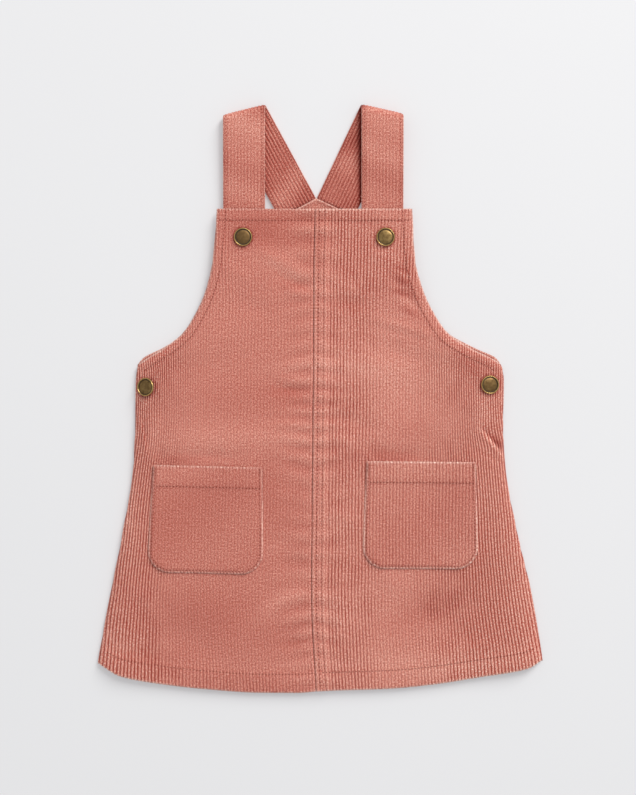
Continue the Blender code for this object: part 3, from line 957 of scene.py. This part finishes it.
def front_half(name, side):
    level = FRONT_ROWS
    ribs = rib_numbers(FRONT_RIBS)
    edge_y = level
    for _ in range(8):
        edge_y = hem_line(side_x(side, edge_y), level)
    high, low = FULL[side]
    outer = side_x(side, edge_y) + side * (high + (low - high) * ease((-95 - edge_y) / 45))
    seam = seam_x(level) + side * GAP / 2
    free = drifted(seam[:, None] + side * reach(ribs[None, :], side, level[:, None]), level[:, None])
    lean = slant(lambda h: side_x(side, h), edge_y)
    square = np.ones(len(level))
    if side < 0:
        x, u = fit(ribs[::-1], free[:, ::-1], outer, seam, lean, square)
    else:
        x, u = fit(ribs, free, seam, outer, square, lean)
    y = hem_line(x, level[:, None])

    from_side = np.abs(outer[:, None] - x) / lean[:, None]
    from_seam = np.abs(x - seam[:, None])
    from_hem = np.broadcast_to((level - HEM_Y)[:, None], x.shape)
    from_bib = np.broadcast_to((BIB_Y - level)[:, None], x.shape)
    armhole = ease((edge_y[:, None] - ARMHOLE_Y + 4) / 6)
    level_edge = np.minimum(from_hem, from_bib)
    free_edge = np.minimum(level_edge, np.minimum(from_seam, from_side / armhole.clip(0.01)))
    drop = rounding(free_edge)
    drop = np.maximum(drop, (1 - armhole) * rounding(from_side, 0.8))
    z = front_face(x, y) - drop
    points = np.stack([x, y, z], axis=2)
    edges = np.minimum(level_edge, from_side + 30 * (1 - armhole))
    tone, opened = nap_and_shade(x, y)
    on_band = (x > seam_x(y)) * (1 - ease((x - seam_x(y) - BAND_WIDTH) / BAND_SLOPE))
    opened = opened * (1 - 0.5 * on_band)
    opened = opened + (1 - opened).clip(0) * (1 - ease(edges / 2.5))
    return cloth(
        name,
        points,
        ribs=u,
        along=y,
        up=rib(u, opened) * (0.55 + 0.45 * ease(free_edge / 0.6)),
        down=np.maximum(LAYER - drop, 0.2),
        pile=(np.ones(x.shape), 1 - ease(free_edge / 1.2)),
        groove=nearest_stitching(x, y),
        # fold also marks where a highlight is painted, here too along the right half's edge at the seam.
        fold=np.maximum(1 - ease(edges / 1.7), 0.35 * side * (1 - ease(from_seam / 1.2))).clip(0),
        nap_and_shade=(tone, opened),
        finish=front_corduroy,
    )


front_left = front_half("cloth_front_left", -1)
front_right = front_half("cloth_front_right", 1)

# %% [markdown]
# ## Patch pockets
# A patch pocket is one piece with a turned opening and two round lower corners, sewn on along three
# sides. It is made from the front's own face, moved out, so it follows each crease beneath it. The
# stitched edge is pulled down, while the opening stands away a little.

# %% Pockets
POCKET_TALL, POCKET_TOP_HALF, POCKET_FOOT_HALF = 74.8, 38.1, 39.9
POCKET_CORNER, POCKET_HEM, POCKET_SEWN = 15.0, 14.5, 1.9
POCKET_OFF = GAP + 0.15 + 1.5
POCKET_RIBS = 37
Pocket = namedtuple("Pocket", "name x y degrees tone open")
POCKETS = (
    Pocket("pocket_left", -78.4, -47.5, -1.5, 0.83, 0.26),
    Pocket("pocket_right", 70.7, -44.3, -0.4, 1.03, 0.66),
)


def pocket_half(depth):
    """Half the pocket's width at a depth under its opening."""
    straight = POCKET_TALL - POCKET_CORNER
    half = POCKET_TOP_HALF + (POCKET_FOOT_HALF - POCKET_TOP_HALF) * np.minimum(depth / straight, 1)
    round_part = np.clip((depth - straight) / POCKET_CORNER, 0, 1)
    return half - POCKET_CORNER * (1 - np.sqrt(1 - round_part**2))


def pocket_edge(s, depth):
    """Distance inside the sewn edge, square to it in the round corners too."""
    straight = POCKET_TALL - POCKET_CORNER
    centre = pocket_half(straight) - POCKET_CORNER
    across, down = np.abs(s) - centre, depth - straight
    in_corner = (across > 0) & (down > 0)
    from_side = np.where(down > 0, POCKET_CORNER - across, pocket_half(depth) - np.abs(s))
    straight_edge = np.minimum(from_side, POCKET_TALL - depth)
    return np.where(in_corner, POCKET_CORNER - np.hypot(across, down), straight_edge)


def on_pocket(pocket, s, depth):
    turn = math.radians(pocket.degrees)
    x = pocket.x + s * math.cos(turn) + depth * math.sin(turn)
    y = pocket.y + s * math.sin(turn) - depth * math.cos(turn)
    return x, y


def pocket_face(pocket, s, depth):
    """Height of the pocket's face under its pile."""
    x, y = on_pocket(pocket, s, depth)
    sewn = 0.3 * np.exp(-((pocket_edge(s, depth) / 2.4) ** 2)) * ease(depth / 5)
    hem = 0.35 * (1 - ease((depth - POCKET_HEM) / 1.5)) - 0.16 * np.exp(-(((depth - POCKET_HEM) / 0.8) ** 2))
    gape = 0.7 * np.exp(-((depth / 14) ** 2)) * (1 - (s / POCKET_TOP_HALF) ** 2).clip(0)
    wave = 0.12 * np.sin(s / 9 + depth / 14) + 0.1 * np.sin(depth / 8 + 1.0 + s / 25)
    return front_face(x, y) + POCKET_OFF - sewn + hem + gape + wave


def patch_pocket(pocket):
    corner = [POCKET_TALL - POCKET_CORNER * (1 - math.sin(n * math.pi / 20)) for n in range(11)]
    upper = rows((0.0, 0.45), (1.8, 2.6), (13.3, 0.7), (15.7, 2.7), (corner[0], 0))
    depth = np.sort(np.concatenate([upper, corner[1:], [POCKET_TALL - 0.5]]))[::-1]
    half = pocket_half(depth)
    ribs = rib_numbers(POCKET_RIBS) - POCKET_RIBS / 2
    lean = np.minimum(slant(pocket_half, np.minimum(depth, POCKET_TALL - 1.5)), 4.0)
    free = ribs[None, :] * WALE + 0.12 * np.sin(depth / 9)[:, None] + np.zeros((len(depth), 1))
    s, u = fit(ribs, free, -half, half, lean, lean)
    depths = np.broadcast_to(depth[:, None], s.shape)
    x, y = on_pocket(pocket, s, depths)
    free_edge = np.minimum(pocket_edge(s, depths).clip(0), depths)
    drop = rounding(free_edge, 0.9)
    points = np.stack([x, y, pocket_face(pocket, s, depths) - drop], axis=2)
    sewn_line = np.minimum(np.abs(pocket_edge(s, depths) - POCKET_SEWN), np.abs(depths - POCKET_HEM))
    opened = np.full(s.shape, pocket.open)
    opened = opened + (1 - opened) * (1 - ease(free_edge / 2.5))
    tone = pocket.tone + 0.06 * np.sin(depths / 15 + s / 21 + pocket.x) + 0.10 * (1 - ease(depths / 20))
    # Painted highlight along the sewn edges, which turn away from the lamp.
    tone = tone + 0.3 * (1 - ease(free_edge / 1.8)) * ease(depths / 3)
    return cloth(
        "cloth_" + pocket.name,
        points,
        ribs=u + 0.5,
        along=-depths,
        up=rib(u + 0.5, opened) * (0.55 + 0.45 * ease(free_edge / 0.6)),
        down=np.maximum(LAYER - drop, 0.2),
        pile=(np.ones(s.shape), 1 - ease(free_edge / 1.2)),
        groove=np.minimum(sewn_line, FAR),
        fold=(1 - ease(free_edge / 1.8)) * (0.62 + 0.38 * (1 - ease(depths / 2.5))),
        nap_and_shade=(tone, opened),
        finish=pocket_corduroy,
    )


pocket_pieces = [patch_pocket(pocket) for pocket in POCKETS]

# %% [markdown]
# ## Straps
# A strap is a flat tube of cloth, turned and pressed, so both faces show ribs. It never stretches:
# it is one strip that is rolled over at the shoulder, round a line that lies a little askew, which
# is why its back run slants to the middle. The flat strip is laid out first, and `lay_strap` carries
# each of its points to where it lies.

# %% Where a strap lies
STRAP_THICK, STRAP_WIDTH = 2.8, 29.4
STRAP_END_Y, STRAP_END_Z, STRAP_BEND_LENGTH = 98.0, 3.4, 88.0
STRAP_SEWN = 2.1
Strap = namedtuple("Strap", "name x y lean tilt radius overhung")
STRAPS = (
    Strap("strap_left", -53.2, 202.6, 1, 14.25, 2.7, 0.2),
    Strap("strap_right", 43.7, 203.5, -1, 12.65, 3.7, 0.85),
)


def strap_ways(strap):
    """Across the shoulder fold, and down the back run, as directions on the table."""
    tilt = math.radians(strap.tilt)
    across = np.array([-strap.lean * math.sin(tilt), math.cos(tilt)])
    down = np.array([strap.lean * math.sin(2 * tilt), -math.cos(2 * tilt)])
    return across, down


def strap_crossing():
    """Where the inner edges of the two back runs meet, at the peak of the back."""
    (_, left), (_, right) = (strap_ways(strap) for strap in STRAPS)
    inward = [np.array([-down[1], down[0]]) * strap.lean for strap, down in zip(STRAPS, (left, right))]
    start = [np.array([strap.x, strap.y]) + way * STRAP_WIDTH / 2 for strap, way in zip(STRAPS, inward)]
    apart = start[1] - start[0]
    share = (apart[0] * right[1] - apart[1] * right[0]) / (left[0] * right[1] - left[1] * right[0])
    return start[0] + left * share


PEAK = strap_crossing()


def lay_strap(strap, s, t):
    """The strip's middle at s across and t along, and the direction its right face points in."""
    across, _ = strap_ways(strap)
    flat = np.stack([strap.x + s, t + 0 * s], axis=-1)
    beyond = (flat - np.array([strap.x, strap.y])) @ across
    half_turn = math.pi * strap.radius / 2
    low = STRAP_THICK / 2
    fallen = ease((-half_turn - beyond) / STRAP_BEND_LENGTH)
    front_z = STRAP_END_Z + (low + 2 * strap.radius - STRAP_END_Z) * (1 - fallen)
    angle = np.clip((beyond + half_turn) / strap.radius, 0, math.pi)
    loop = strap.radius * np.sin(angle) - (beyond + half_turn)
    moved = np.where(beyond < -half_turn, 0, np.where(beyond > half_turn, -2 * beyond, loop))
    loop_z = low + strap.radius + strap.radius * np.cos(angle)
    z = np.where(beyond < -half_turn, front_z, np.where(beyond > half_turn, low, loop_z))
    place = np.concatenate([flat + moved[..., None] * across, z[..., None]], axis=-1)
    facing = np.stack([across[0] * np.sin(angle), across[1] * np.sin(angle), np.cos(angle)], axis=-1)
    return place, facing


def strap_end(strap):
    """How far along the strip its end at the back's peak is."""
    _, down = strap_ways(strap)
    return strap.y + (PEAK - np.array([strap.x, strap.y])) @ down - 0.4


print("straps meet at", np.round(PEAK, 1))
for strap in STRAPS:
    print(strap.name, "is", round(strap_end(strap) - STRAP_END_Y), "mm long")

# %% [markdown]
# ## Sewing the straps
# The strip's rows are square to it at both ends and follow the askew line in the roll, so that no
# face is twisted there. Its pile is darker and more open on the back run, and a painted shadow makes
# it darkest close under a front run that overhangs it.

# %% Straps
def strap_thickness(s, t):
    """Half the strap's thickness under its pile, rounded at its pressed edges."""
    edge = (STRAP_WIDTH / 2 - np.abs(s)).clip(0)
    inward = np.clip(1 - edge / 1.3, 0, 0.995)
    slack = 0.1 * np.sin(t / 7.5 + s / 20) + 0.08 * np.sin(t / 4.1)
    pressed = 0.28 * np.exp(-(((edge - STRAP_SEWN) / 0.7) ** 2))
    return (STRAP_THICK / 2 - 0.35) * np.sqrt(1 - inward**2) + slack * ease(edge / 3) - pressed


def sewn_strap(strap):
    across, _ = strap_ways(strap)
    end = strap_end(strap)
    half_turn = math.pi * strap.radius / 2
    wide = half_turn + STRAP_WIDTH / 2 * math.tan(math.radians(strap.tilt)) + 2
    square = rows((STRAP_END_Y, 2.4), (strap.y - wide, 0))
    folded = rows((-half_turn - 0.6, 0.7), (half_turn + 0.6, 0))
    after = rows((strap.y + wide, 2.4), (end - 1.8, 0.45), (end, 0))
    ribs = rib_numbers(13) - 6.5
    s_row, u_row = fit(ribs, ribs[None, :] * WALE, [-STRAP_WIDTH / 2], [STRAP_WIDTH / 2], [1.0], [1.0])
    lines = [np.full(s_row.shape[1], t) for t in square]
    lines += [strap.y + (value - s_row[0] * across[0]) / across[1] for value in folded]
    lines += [np.full(s_row.shape[1], t) for t in after]
    t = np.array(lines)
    s = np.broadcast_to(s_row[0], t.shape)
    u = np.broadcast_to(u_row[0], t.shape)
    points, _ = lay_strap(strap, s, t)
    edge = (STRAP_WIDTH / 2 - np.abs(s)).clip(0)
    beyond = t - strap.y - s * across[0]
    behind = ease(beyond / 5)
    opened = 0.38 + 0.15 * np.sin(t / 11 + s / 15) + 0.5 * (1 - ease(edge / 2.0)) + 0.55 * behind
    # Tone: lighter on the front run before the fold and darker on the back run, crossed by bands of painted
    # light and shade, with a painted shadow under an overhanging front run.
    tone = 0.95 + 0.10 * np.exp(-(((beyond + 14) / 16) ** 2)) - 0.08 * ease((beyond - 2) / 16)
    tone = tone + (0.06 + 0.08 * behind) * np.sin(t / 6.3 + s / 18 + strap.x)
    tone = tone + 0.05 * np.sin(t / 3.9 + 2 + s / 9)
    overhung = np.exp(-(((points[..., 0] - strap.x - strap.lean * STRAP_WIDTH / 2) / 2.2) ** 2)) * behind
    tone = tone * (1 - strap.overhung * overhung)
    thick = strap_thickness(s, t) + rib(u, opened)
    ends = np.minimum(t - STRAP_END_Y, end - t)
    thick = thick * (0.25 + 0.75 * ease(ends / 1.2))
    return cloth(
        "cloth_" + strap.name,
        points,
        ribs=u,
        along=t,
        up=thick,
        down=thick,
        pile=(np.ones(t.shape), np.ones(t.shape)),
        groove=np.abs(edge - STRAP_SEWN),
        fold=0.6 * (1 - ease(edge / 1.1)),
        nap_and_shade=(tone, opened),
        finish=strap_corduroy,
    )


strap_pieces = [sewn_strap(strap) for strap in STRAPS]

# %% [markdown]
# ## Back
# The back lies face down on the table, so its ribs point down and its smooth wrong side looks up, in
# the neck and past the armholes. At the armholes and the peak the cloth is turned in, and a strip of
# pile shows along that fold.

# %% Back
BACK_INSET = 0.5
BACK_OVERLAP = 1.0  # the back's edge reaches this far over a strap's end, along x
BACK_RIBS = 71


def back_side(side, y):
    """Outline of the back: side, armhole, then the slanting seam where the strap is sewn on."""
    name = "left" if side < 0 else "right"
    strap = STRAPS[0] if side < 0 else STRAPS[1]
    _, down = strap_ways(strap)
    outward = np.array([down[1], -down[0]]) * strap.lean
    corner = PEAK + outward * STRAP_WIDTH
    arms = [*BACK_ARMS, Side(corner[1], corner[0], corner[0])]
    low = side_x(side, y) - side * BACK_INSET
    arm = read(arms, "y", name, y)
    overlap = side * BACK_OVERLAP
    seam = corner[0] + overlap + (PEAK[0] - corner[0]) * (y - corner[1]) / (PEAK[1] - corner[1])
    return np.where(y < BACK_ARMS[0].y, low, np.where(y < corner[1], arm, seam))


def back_panel():
    level = rows(
        (HEM_Y + 2 * BACK_INSET, 0.5),
        (HEM_Y + 3, 4.0),
        (20.0, 1.8),
        (50.0, 3.0),
        (120.0, 1.1),
        (PEAK[1] + 0.3, 0),
    )
    ribs = rib_numbers(2 * BACK_RIBS, PLAIN_PHASES) - BACK_RIBS
    half_reach = [reach(np.abs(ribs)[None, :], side, level[:, None]) for side in (-1, 1)]
    free = np.where(ribs[None, :] < 0, -half_reach[0], half_reach[1]) - 4.0
    outlines, leans = [], []
    for side in (-1, 1):
        edge_y = level
        for _ in range(8):
            edge_y = hem_line(back_side(side, edge_y), level)
        outlines.append(back_side(side, edge_y))
        leans.append(np.minimum(slant(lambda h: back_side(side, h), edge_y), 2.2))
    x, u = fit(ribs, free, outlines[0], outlines[1], leans[0], leans[1])
    y = hem_line(x, level[:, None])
    from_left = (x - outlines[0][:, None]) / leans[0][:, None]
    from_right = (outlines[1][:, None] - x) / leans[1][:, None]
    from_hem = np.broadcast_to((level - level[0])[:, None], x.shape)
    edge = np.minimum(np.minimum(from_left, from_right), from_hem).clip(0)
    drop = rounding(edge, 1.0)
    turned = 1 - ease((edge - 1.0) / 1.0)
    faced = ease((y - 118) / 8)
    near_strap = np.exp(-((np.minimum(from_left, from_right) / 2.0) ** 2))
    sewn_in = ease((y - BACK_ARMS[-1].y - 3) / 6) * near_strap
    points = np.stack([x, y, 1.45 - 0.9 * drop + 1.1 * sewn_in], axis=2)
    return cloth(
        "cloth_back",
        points,
        ribs=u,
        along=y,
        up=0.3 * np.maximum(turned, faced) * rib(u),
        down=np.maximum(0.88 - 0.8 * drop, 0.12) + rib(u) * ease(edge / 0.8),
        pile=(np.maximum(turned, faced), np.ones(x.shape)),
        groove=np.full(x.shape, FAR),
        fold=1 - ease(edge / 1.4),
        nap_and_shade=(np.full(x.shape, 1.12), 1.0 - 0.7 * faced),
        finish=back_corduroy,
    )


back_piece = back_panel()

# %% [markdown]
# ## Stitching
# A lockstitch shows as short bars of thread that dive into the cloth at each needle hole. Each bar is
# a three-point curve with a round bevel, arched in the middle, and a short dark one is painted shade
# that stands for the hole between two bars. One curve object holds all the bars of a seam.

# %% Thread finishes and the sewing function
def thread_finish():
    finish = Finish("thread")
    place = finish.node("ShaderNodeTexCoord", {}, output=3)
    twist = finish.noise(place, 1600.0, 1.0)
    finish.set(Base_Color=finish.blend(twist, colour(0.54, 0.17, 0.125), colour(0.72, 0.30, 0.235)))
    finish.set(Roughness=0.8 - 0.2 * twist, Sheen_Weight=0.15, Specular_IOR_Level=0.1)
    return finish.material


# Painted shade: a needle hole shows only as a dark spot, so this dark finish stands in for its shade.
def hole_shade_finish():
    finish = Finish("needle_hole_shade")
    place = finish.node("ShaderNodeTexCoord", {}, output=3)
    shade_grain = finish.noise(place, 900.0, 1.0)
    finish.set(Base_Color=finish.blend(shade_grain, colour(0.15, 0.022, 0.014), colour(0.30, 0.055, 0.038)))
    finish.set(Roughness=0.95, Specular_IOR_Level=0.0)
    return finish.material


thread, needle_hole_shade = thread_finish(), hole_shade_finish()
STITCH, HOLE = 1.3, 1.0  # length of a bar of thread, and of the hole after it


def sew(name, lines, bar=STITCH, hole=HOLE, thick=0.2):
    """Sew along lines, each an array of points on the cloth."""
    curve = bpy.data.curves.new(name, "CURVE")
    curve.dimensions = "3D"
    curve.bevel_depth = thick * MM
    curve.bevel_resolution = 1
    curve.use_fill_caps = True
    curve.materials.append(thread)
    curve.materials.append(needle_hole_shade)
    for line in lines:
        lengths = np.concatenate([[0], np.cumsum(np.linalg.norm(np.diff(line, axis=0), axis=1))])
        count = max(1, round(lengths[-1] / (bar + hole)))
        pitch = lengths[-1] / count
        for n in range(count):
            start = n * pitch
            marks = {0: (start, start + bar / 2, start + bar), 1: (start + bar + 0.1, start + pitch - 0.1)}
            lifts = {0: (-0.12, 0.14, -0.12), 1: (0.0, 0.0)}
            for kind in (0, 1):
                spline = curve.splines.new("POLY")
                spline.material_index = kind
                spline.points.add(len(marks[kind]) - 1)
                for point, at, lift in zip(spline.points, marks[kind], lifts[kind]):
                    x, y, z = (np.interp(at, lengths, line[:, k]) for k in range(3))
                    point.co = (x * MM, y * MM, (z + lift) * MM, 1)
                    point.radius = 1.0 if kind == 0 else 1.5
    made = bpy.data.objects.new(name, curve)
    bpy.context.scene.collection.objects.link(made)
    print(name, len(curve.splines), "bars and holes")
    return made


PILE_TOP = 0.5  # thread lies this far up in the pile


def on_front(x, y):
    return np.stack([x, y, front_face(x, y) + PILE_TOP], axis=1)


# %% [markdown]
# ## Rows on the front
# A presser foot keeps a row of stitches one distance inside an edge. So each row here is a line of
# points that far inside its edge, put on the cloth's own face. The row nearest the centre seam is
# pulled tightest, and its needle holes show most.

# %% Stitching on the front
def armhole_row(side, inset):
    """A line this far inside the armhole and the side of the bib."""
    y = np.linspace(ARMHOLE_Y - 3, BIB_Y, 240)
    x = side_x(side, y)
    along = np.stack([np.gradient(x), np.gradient(y)], axis=1)
    along /= np.linalg.norm(along, axis=1)[:, None]
    x_in, y_in = x - side * along[:, 1] * inset, y + side * along[:, 0] * inset
    kept = (y_in < BIB_Y - 1.5) & (side * (side_x(side, y_in) - x_in) > 1.0)
    return on_front(x_in[kept], y_in[kept])


def hem_row(side):
    x = np.linspace(seam_x(HEM_Y) + side * 1.0, side * 151.0, 160)
    y = hem_line(x, HEM_Y + HEM_DEEP)
    kept = side * (side_x(side, y) - x) > 4
    return on_front(x[kept], y[kept])


def bib_row(side):
    y = np.full(90, BIB_Y - BIB_DEEP)
    return on_front(np.linspace(seam_x(BIB_Y) + side, side_x(side, BIB_Y) - side * 1.5, 90), y)


def band_row(offset):
    y = np.linspace(HEM_Y + 3, BIB_Y - 1.5, 260)
    return on_front(seam_x(y) + offset, y)


stitching = [sew("stitching_armholes", [armhole_row(side, ARM_DEEP) for side in (-1, 1)])]
stitching += [sew("stitching_hem", [hem_row(-1), hem_row(1)])]
stitching += [sew("stitching_bib", [bib_row(-1), bib_row(1)])]
stitching += [sew("stitching_seam_near", [band_row(BAND_ROWS[0])], bar=1.65, hole=1.1, thick=0.26)]
stitching += [sew("stitching_seam_far", [band_row(BAND_ROWS[1])], bar=1.75, hole=0.8, thick=0.18)]

# %% [markdown]
# ## Rows on the pockets
# One row runs down a side, round the foot and up the other side, and another holds the hem of the
# opening. A bar tack, which is a close zigzag, takes the strain at each upper corner.

# %% Stitching on the pockets
def over_pocket(pocket, s, depth, lift):
    """Points this far above the pocket's face."""
    return np.stack([*on_pocket(pocket, s, depth), pocket_face(pocket, s, depth) + lift], axis=1)


def pocket_rows(pocket):
    """The sewn edge, down one side, round the foot and up the other, and the row of its hem."""
    straight = POCKET_TALL - POCKET_CORNER
    turn = np.linspace(0, math.pi / 2, 14)
    inner = POCKET_CORNER - POCKET_SEWN
    centre = pocket_half(straight) - POCKET_CORNER
    down = np.linspace(0.8, straight, 40)
    half = pocket_half(down) - POCKET_SEWN
    foot = np.linspace(centre, 0, 12)[1:]
    side = np.concatenate([half, centre + inner * np.cos(turn[1:]), foot])
    foot_depth = np.full(len(foot), POCKET_TALL - POCKET_SEWN)
    depth = np.concatenate([down, straight + inner * np.sin(turn[1:]), foot_depth])
    s = np.concatenate([-side, side[::-1][1:]])
    depth = np.concatenate([depth, depth[::-1][1:]])
    hem_s = np.linspace(-POCKET_TOP_HALF + 1.2, POCKET_TOP_HALF - 1.2, 60)
    lines = [(s, depth), (hem_s, np.full(60, POCKET_HEM))]
    return [over_pocket(pocket, s, d, PILE_TOP) for s, d in lines]


def bar_tack(pocket, side):
    """A close zigzag that keeps a corner of the opening from tearing."""
    step = np.arange(15)
    s = side * (POCKET_TOP_HALF - 1.4 + 0.75 * np.where(step % 2 == 0, 1, -1))
    depth = 0.8 + step * 0.42
    return over_pocket(pocket, s, depth, PILE_TOP + 0.1)


for pocket in POCKETS:
    stitching += [sew("stitching_" + pocket.name, pocket_rows(pocket))]
    tacks = [bar_tack(pocket, side) for side in (-1, 1)]
    stitching += [sew("tacks_" + pocket.name, tacks, bar=1.35, hole=0.15, thick=0.2)]

# %% [markdown]
# ## Rows on the straps
# A strap's right face shows on its front run and the other face on its back run, so each of its two
# rows is sewn on both.

# %% Stitching on the straps
def strap_row(strap, s, face):
    """A row near one edge on one face; face is 1 for the right face and -1 for the other."""
    t = np.linspace(STRAP_END_Y + 3, strap_end(strap) - 1.5, 320)
    s = np.full(len(t), s)
    place, facing = lay_strap(strap, s, t)
    return place + facing * face * (strap_thickness(s, t) + PILE_TOP)[:, None]


for strap in STRAPS:
    edge = STRAP_WIDTH / 2 - STRAP_SEWN
    lines = [strap_row(strap, s, face) for s in (-edge, edge) for face in (1, -1)]
    stitching += [sew("stitching_" + strap.name, lines)]

# %% [markdown]
# ## Antique brass
# A snap's cap is stamped brass with a dark, antique finish. Handling polishes its rim and, on some
# caps, the dish as well. The step between the two and the underside of the rim are coloured almost
# black and hardly shine. How worn each ring of the cap is, and which rings are almost black, comes
# from its mesh.

# %% Brass finish
def brass_finish():
    finish = Finish("antique_brass")
    place = finish.node("ShaderNodeTexCoord", {}, output=3)
    worn = finish.stored("worn")
    stain = finish.noise(place, 420.0, 3.0, 0.6)
    fine = finish.noise(place, 2600.0, 2.0)
    dark = finish.blend(stain, colour(0.065, 0.033, 0.011), colour(0.27, 0.165, 0.068))
    bright = finish.blend(stain, colour(0.38, 0.245, 0.08), colour(0.60, 0.42, 0.175))
    rubbed = finish.step(worn + (stain - 0.5) * 0.35, 0.3, 0.8)
    # Near 0 in the step and under the rim, which are coloured almost black and hardly metallic.
    not_blackened = finish.step(worn, -0.8, 0.0)
    finish.set(Base_Color=finish.blend(not_blackened, colour(0.03, 0.016, 0.007), finish.blend(rubbed, dark, bright)))
    finish.set(Metallic=0.95 * not_blackened)
    finish.set(Roughness=0.40 - 0.16 * rubbed + 0.12 * fine)
    bump = finish.node("ShaderNodeBump", {}, {"Strength": 0.5, "Distance": 0.05 * MM, "Height": fine + stain})
    finish.set(Normal=bump)
    return finish.material


brass = brass_finish()

# %% [markdown]
# ## Caps
# A cap is round, so it is a profile turned about its axis: out over the shallow dish, up and over the
# rolled rim and in underneath. `spin` turns it, and merging its doubles closes the two poles. A snap's
# stud is hidden in the cloth, so it keeps its plain solid and only gets the brass.

# %% Caps
Turned = namedtuple("Turned", "radius z worn")
CAP = (
    Turned(0.0, 1.70, 0.1),
    Turned(1.8, 1.66, 0.1),
    Turned(3.4, 1.56, 0.12),
    Turned(4.6, 1.42, 0.15),
    Turned(5.0, 1.26, -0.7),
    Turned(5.25, 1.24, -1.2),
    Turned(5.42, 1.42, -0.4),
    Turned(5.52, 1.80, 0.5),
    Turned(5.66, 2.10, 0.8),
    Turned(5.82, 2.26, 1.0),
    Turned(5.98, 2.30, 1.0),
    Turned(6.16, 2.22, 1.0),
    Turned(6.33, 2.00, 0.8),
    Turned(6.45, 1.70, 0.5),
    Turned(6.5, 1.35, 0.3),
    Turned(6.44, 0.95, -0.5),
    Turned(6.22, 0.5, -1.0),
    Turned(5.85, 0.15, 0.0),
    Turned(5.4, 0.02, 0.0),
    Turned(0.0, 0.02, 0.0),
)
CAP_STEPS = 56  # sides of the turned cap
POLISH = {"bib_left": 0.06, "bib_right": 0.36, "side_left": 0.3, "side_right": 0.24}


def snap_cap(place):
    bm = bmesh.new()
    worn = bm.verts.layers.float.new("worn")
    profile = []
    for point in CAP:
        vert = bm.verts.new((point.radius * MM, 0, point.z * MM))
        vert[worn] = point.worn + POLISH[place]
        profile.append(vert)
    edges = [bm.edges.new(pair) for pair in zip(profile, profile[1:])]
    turned = {"geom": profile + edges, "axis": (0, 0, 1), "cent": (0, 0, 0), "use_merge": True}
    bmesh.ops.spin(bm, angle=2 * math.pi, steps=CAP_STEPS, **turned)
    bmesh.ops.remove_doubles(bm, verts=bm.verts[:], dist=0.003 * MM)
    bmesh.ops.recalc_face_normals(bm, faces=bm.faces[:])
    foot, axis = solid_axis("cap_" + place)
    lean = axis.to_track_quat("Z", "Y").to_matrix().to_4x4()
    bmesh.ops.transform(bm, matrix=Matrix.Translation(foot) @ lean, verts=bm.verts[:])
    mesh = bpy.data.meshes.new("snap_" + place)
    bm.to_mesh(mesh)
    bm.free()
    return finished("snap_" + place, mesh, brass)


caps = {place: snap_cap(place) for place in SNAP_PLACES}
for place in SNAP_PLACES:
    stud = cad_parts["stud_" + place]
    stud.data.materials.clear()
    stud.data.materials.append(brass)

# %% [markdown]
# ## The table under it
# A pale matt sheet that glows faintly, painted light that no lamp gives, so shadows on it stay pale.
# It is not part of the dress.

# %% Table
bm = bmesh.new()
bmesh.ops.create_grid(bm, x_segments=1, y_segments=1, size=3.0)
table_mesh = bpy.data.meshes.new("table")
bm.to_mesh(table_mesh)
bm.free()
glowing_paper = Finish("glowing_paper")
paper_grain = glowing_paper.noise(glowing_paper.node("ShaderNodeTexCoord", {}, output=3), 3.0, 2.0)
glowing_paper.set(Base_Color=glowing_paper.blend(paper_grain, colour(0.54, 0.54, 0.55), colour(0.56, 0.56, 0.57)))
glowing_paper.set(Roughness=0.9, Specular_IOR_Level=0.1)
# Painted light: the sheet glows on its own to lighten the shadows on it.
glowing_paper.set(Emission_Color=colour(0.98, 0.98, 1.0), Emission_Strength=0.275)
table = finished("table", table_mesh, glowing_paper.material)

# %% [markdown]
# ## What stands for what
# Each sheet takes the place of its plain solid. The flat areas come from the outlines, the roll at
# the sides included.

# %% Riding and replacing
def flat_area(points):
    """About the area of one face of a sheet, in square metres: half of all its faces, ribs and rim included.
    """
    mesh = points.data
    total = sum(face.area for face in mesh.polygons)
    return total / 2


Cut = namedtuple("Cut", "piece node width length area rests_on")
CUTS = (
    Cut(back_piece, "back", 0.318, 0.352, 0.0845, []),
    Cut(front_left, "front_left", 0.162, 0.341, 0.0405, ["back", "strap_left"]),
    Cut(front_right, "front_right", 0.170, 0.341, 0.0405, ["back", "strap_right"]),
    Cut(pocket_pieces[0], "pocket_left", 0.080, 0.075, 0.0058, ["front_left"]),
    Cut(pocket_pieces[1], "pocket_right", 0.080, 0.075, 0.0058, ["front_right"]),
    Cut(strap_pieces[0], "strap_left", 0.030, 0.183, 0.0054, ["back"]),
    Cut(strap_pieces[1], "strap_right", 0.030, 0.183, 0.0054, ["back"]),
)
for cut in CUTS:
    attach(cut.piece, "root")
    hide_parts(cut.node)
    print(cut.node, "measures", round(flat_area(cut.piece), 4), "m2")
for piece in stitching:
    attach(piece, "root")
for place, cap in caps.items():
    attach(cap, "root")
    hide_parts("cap_" + place)
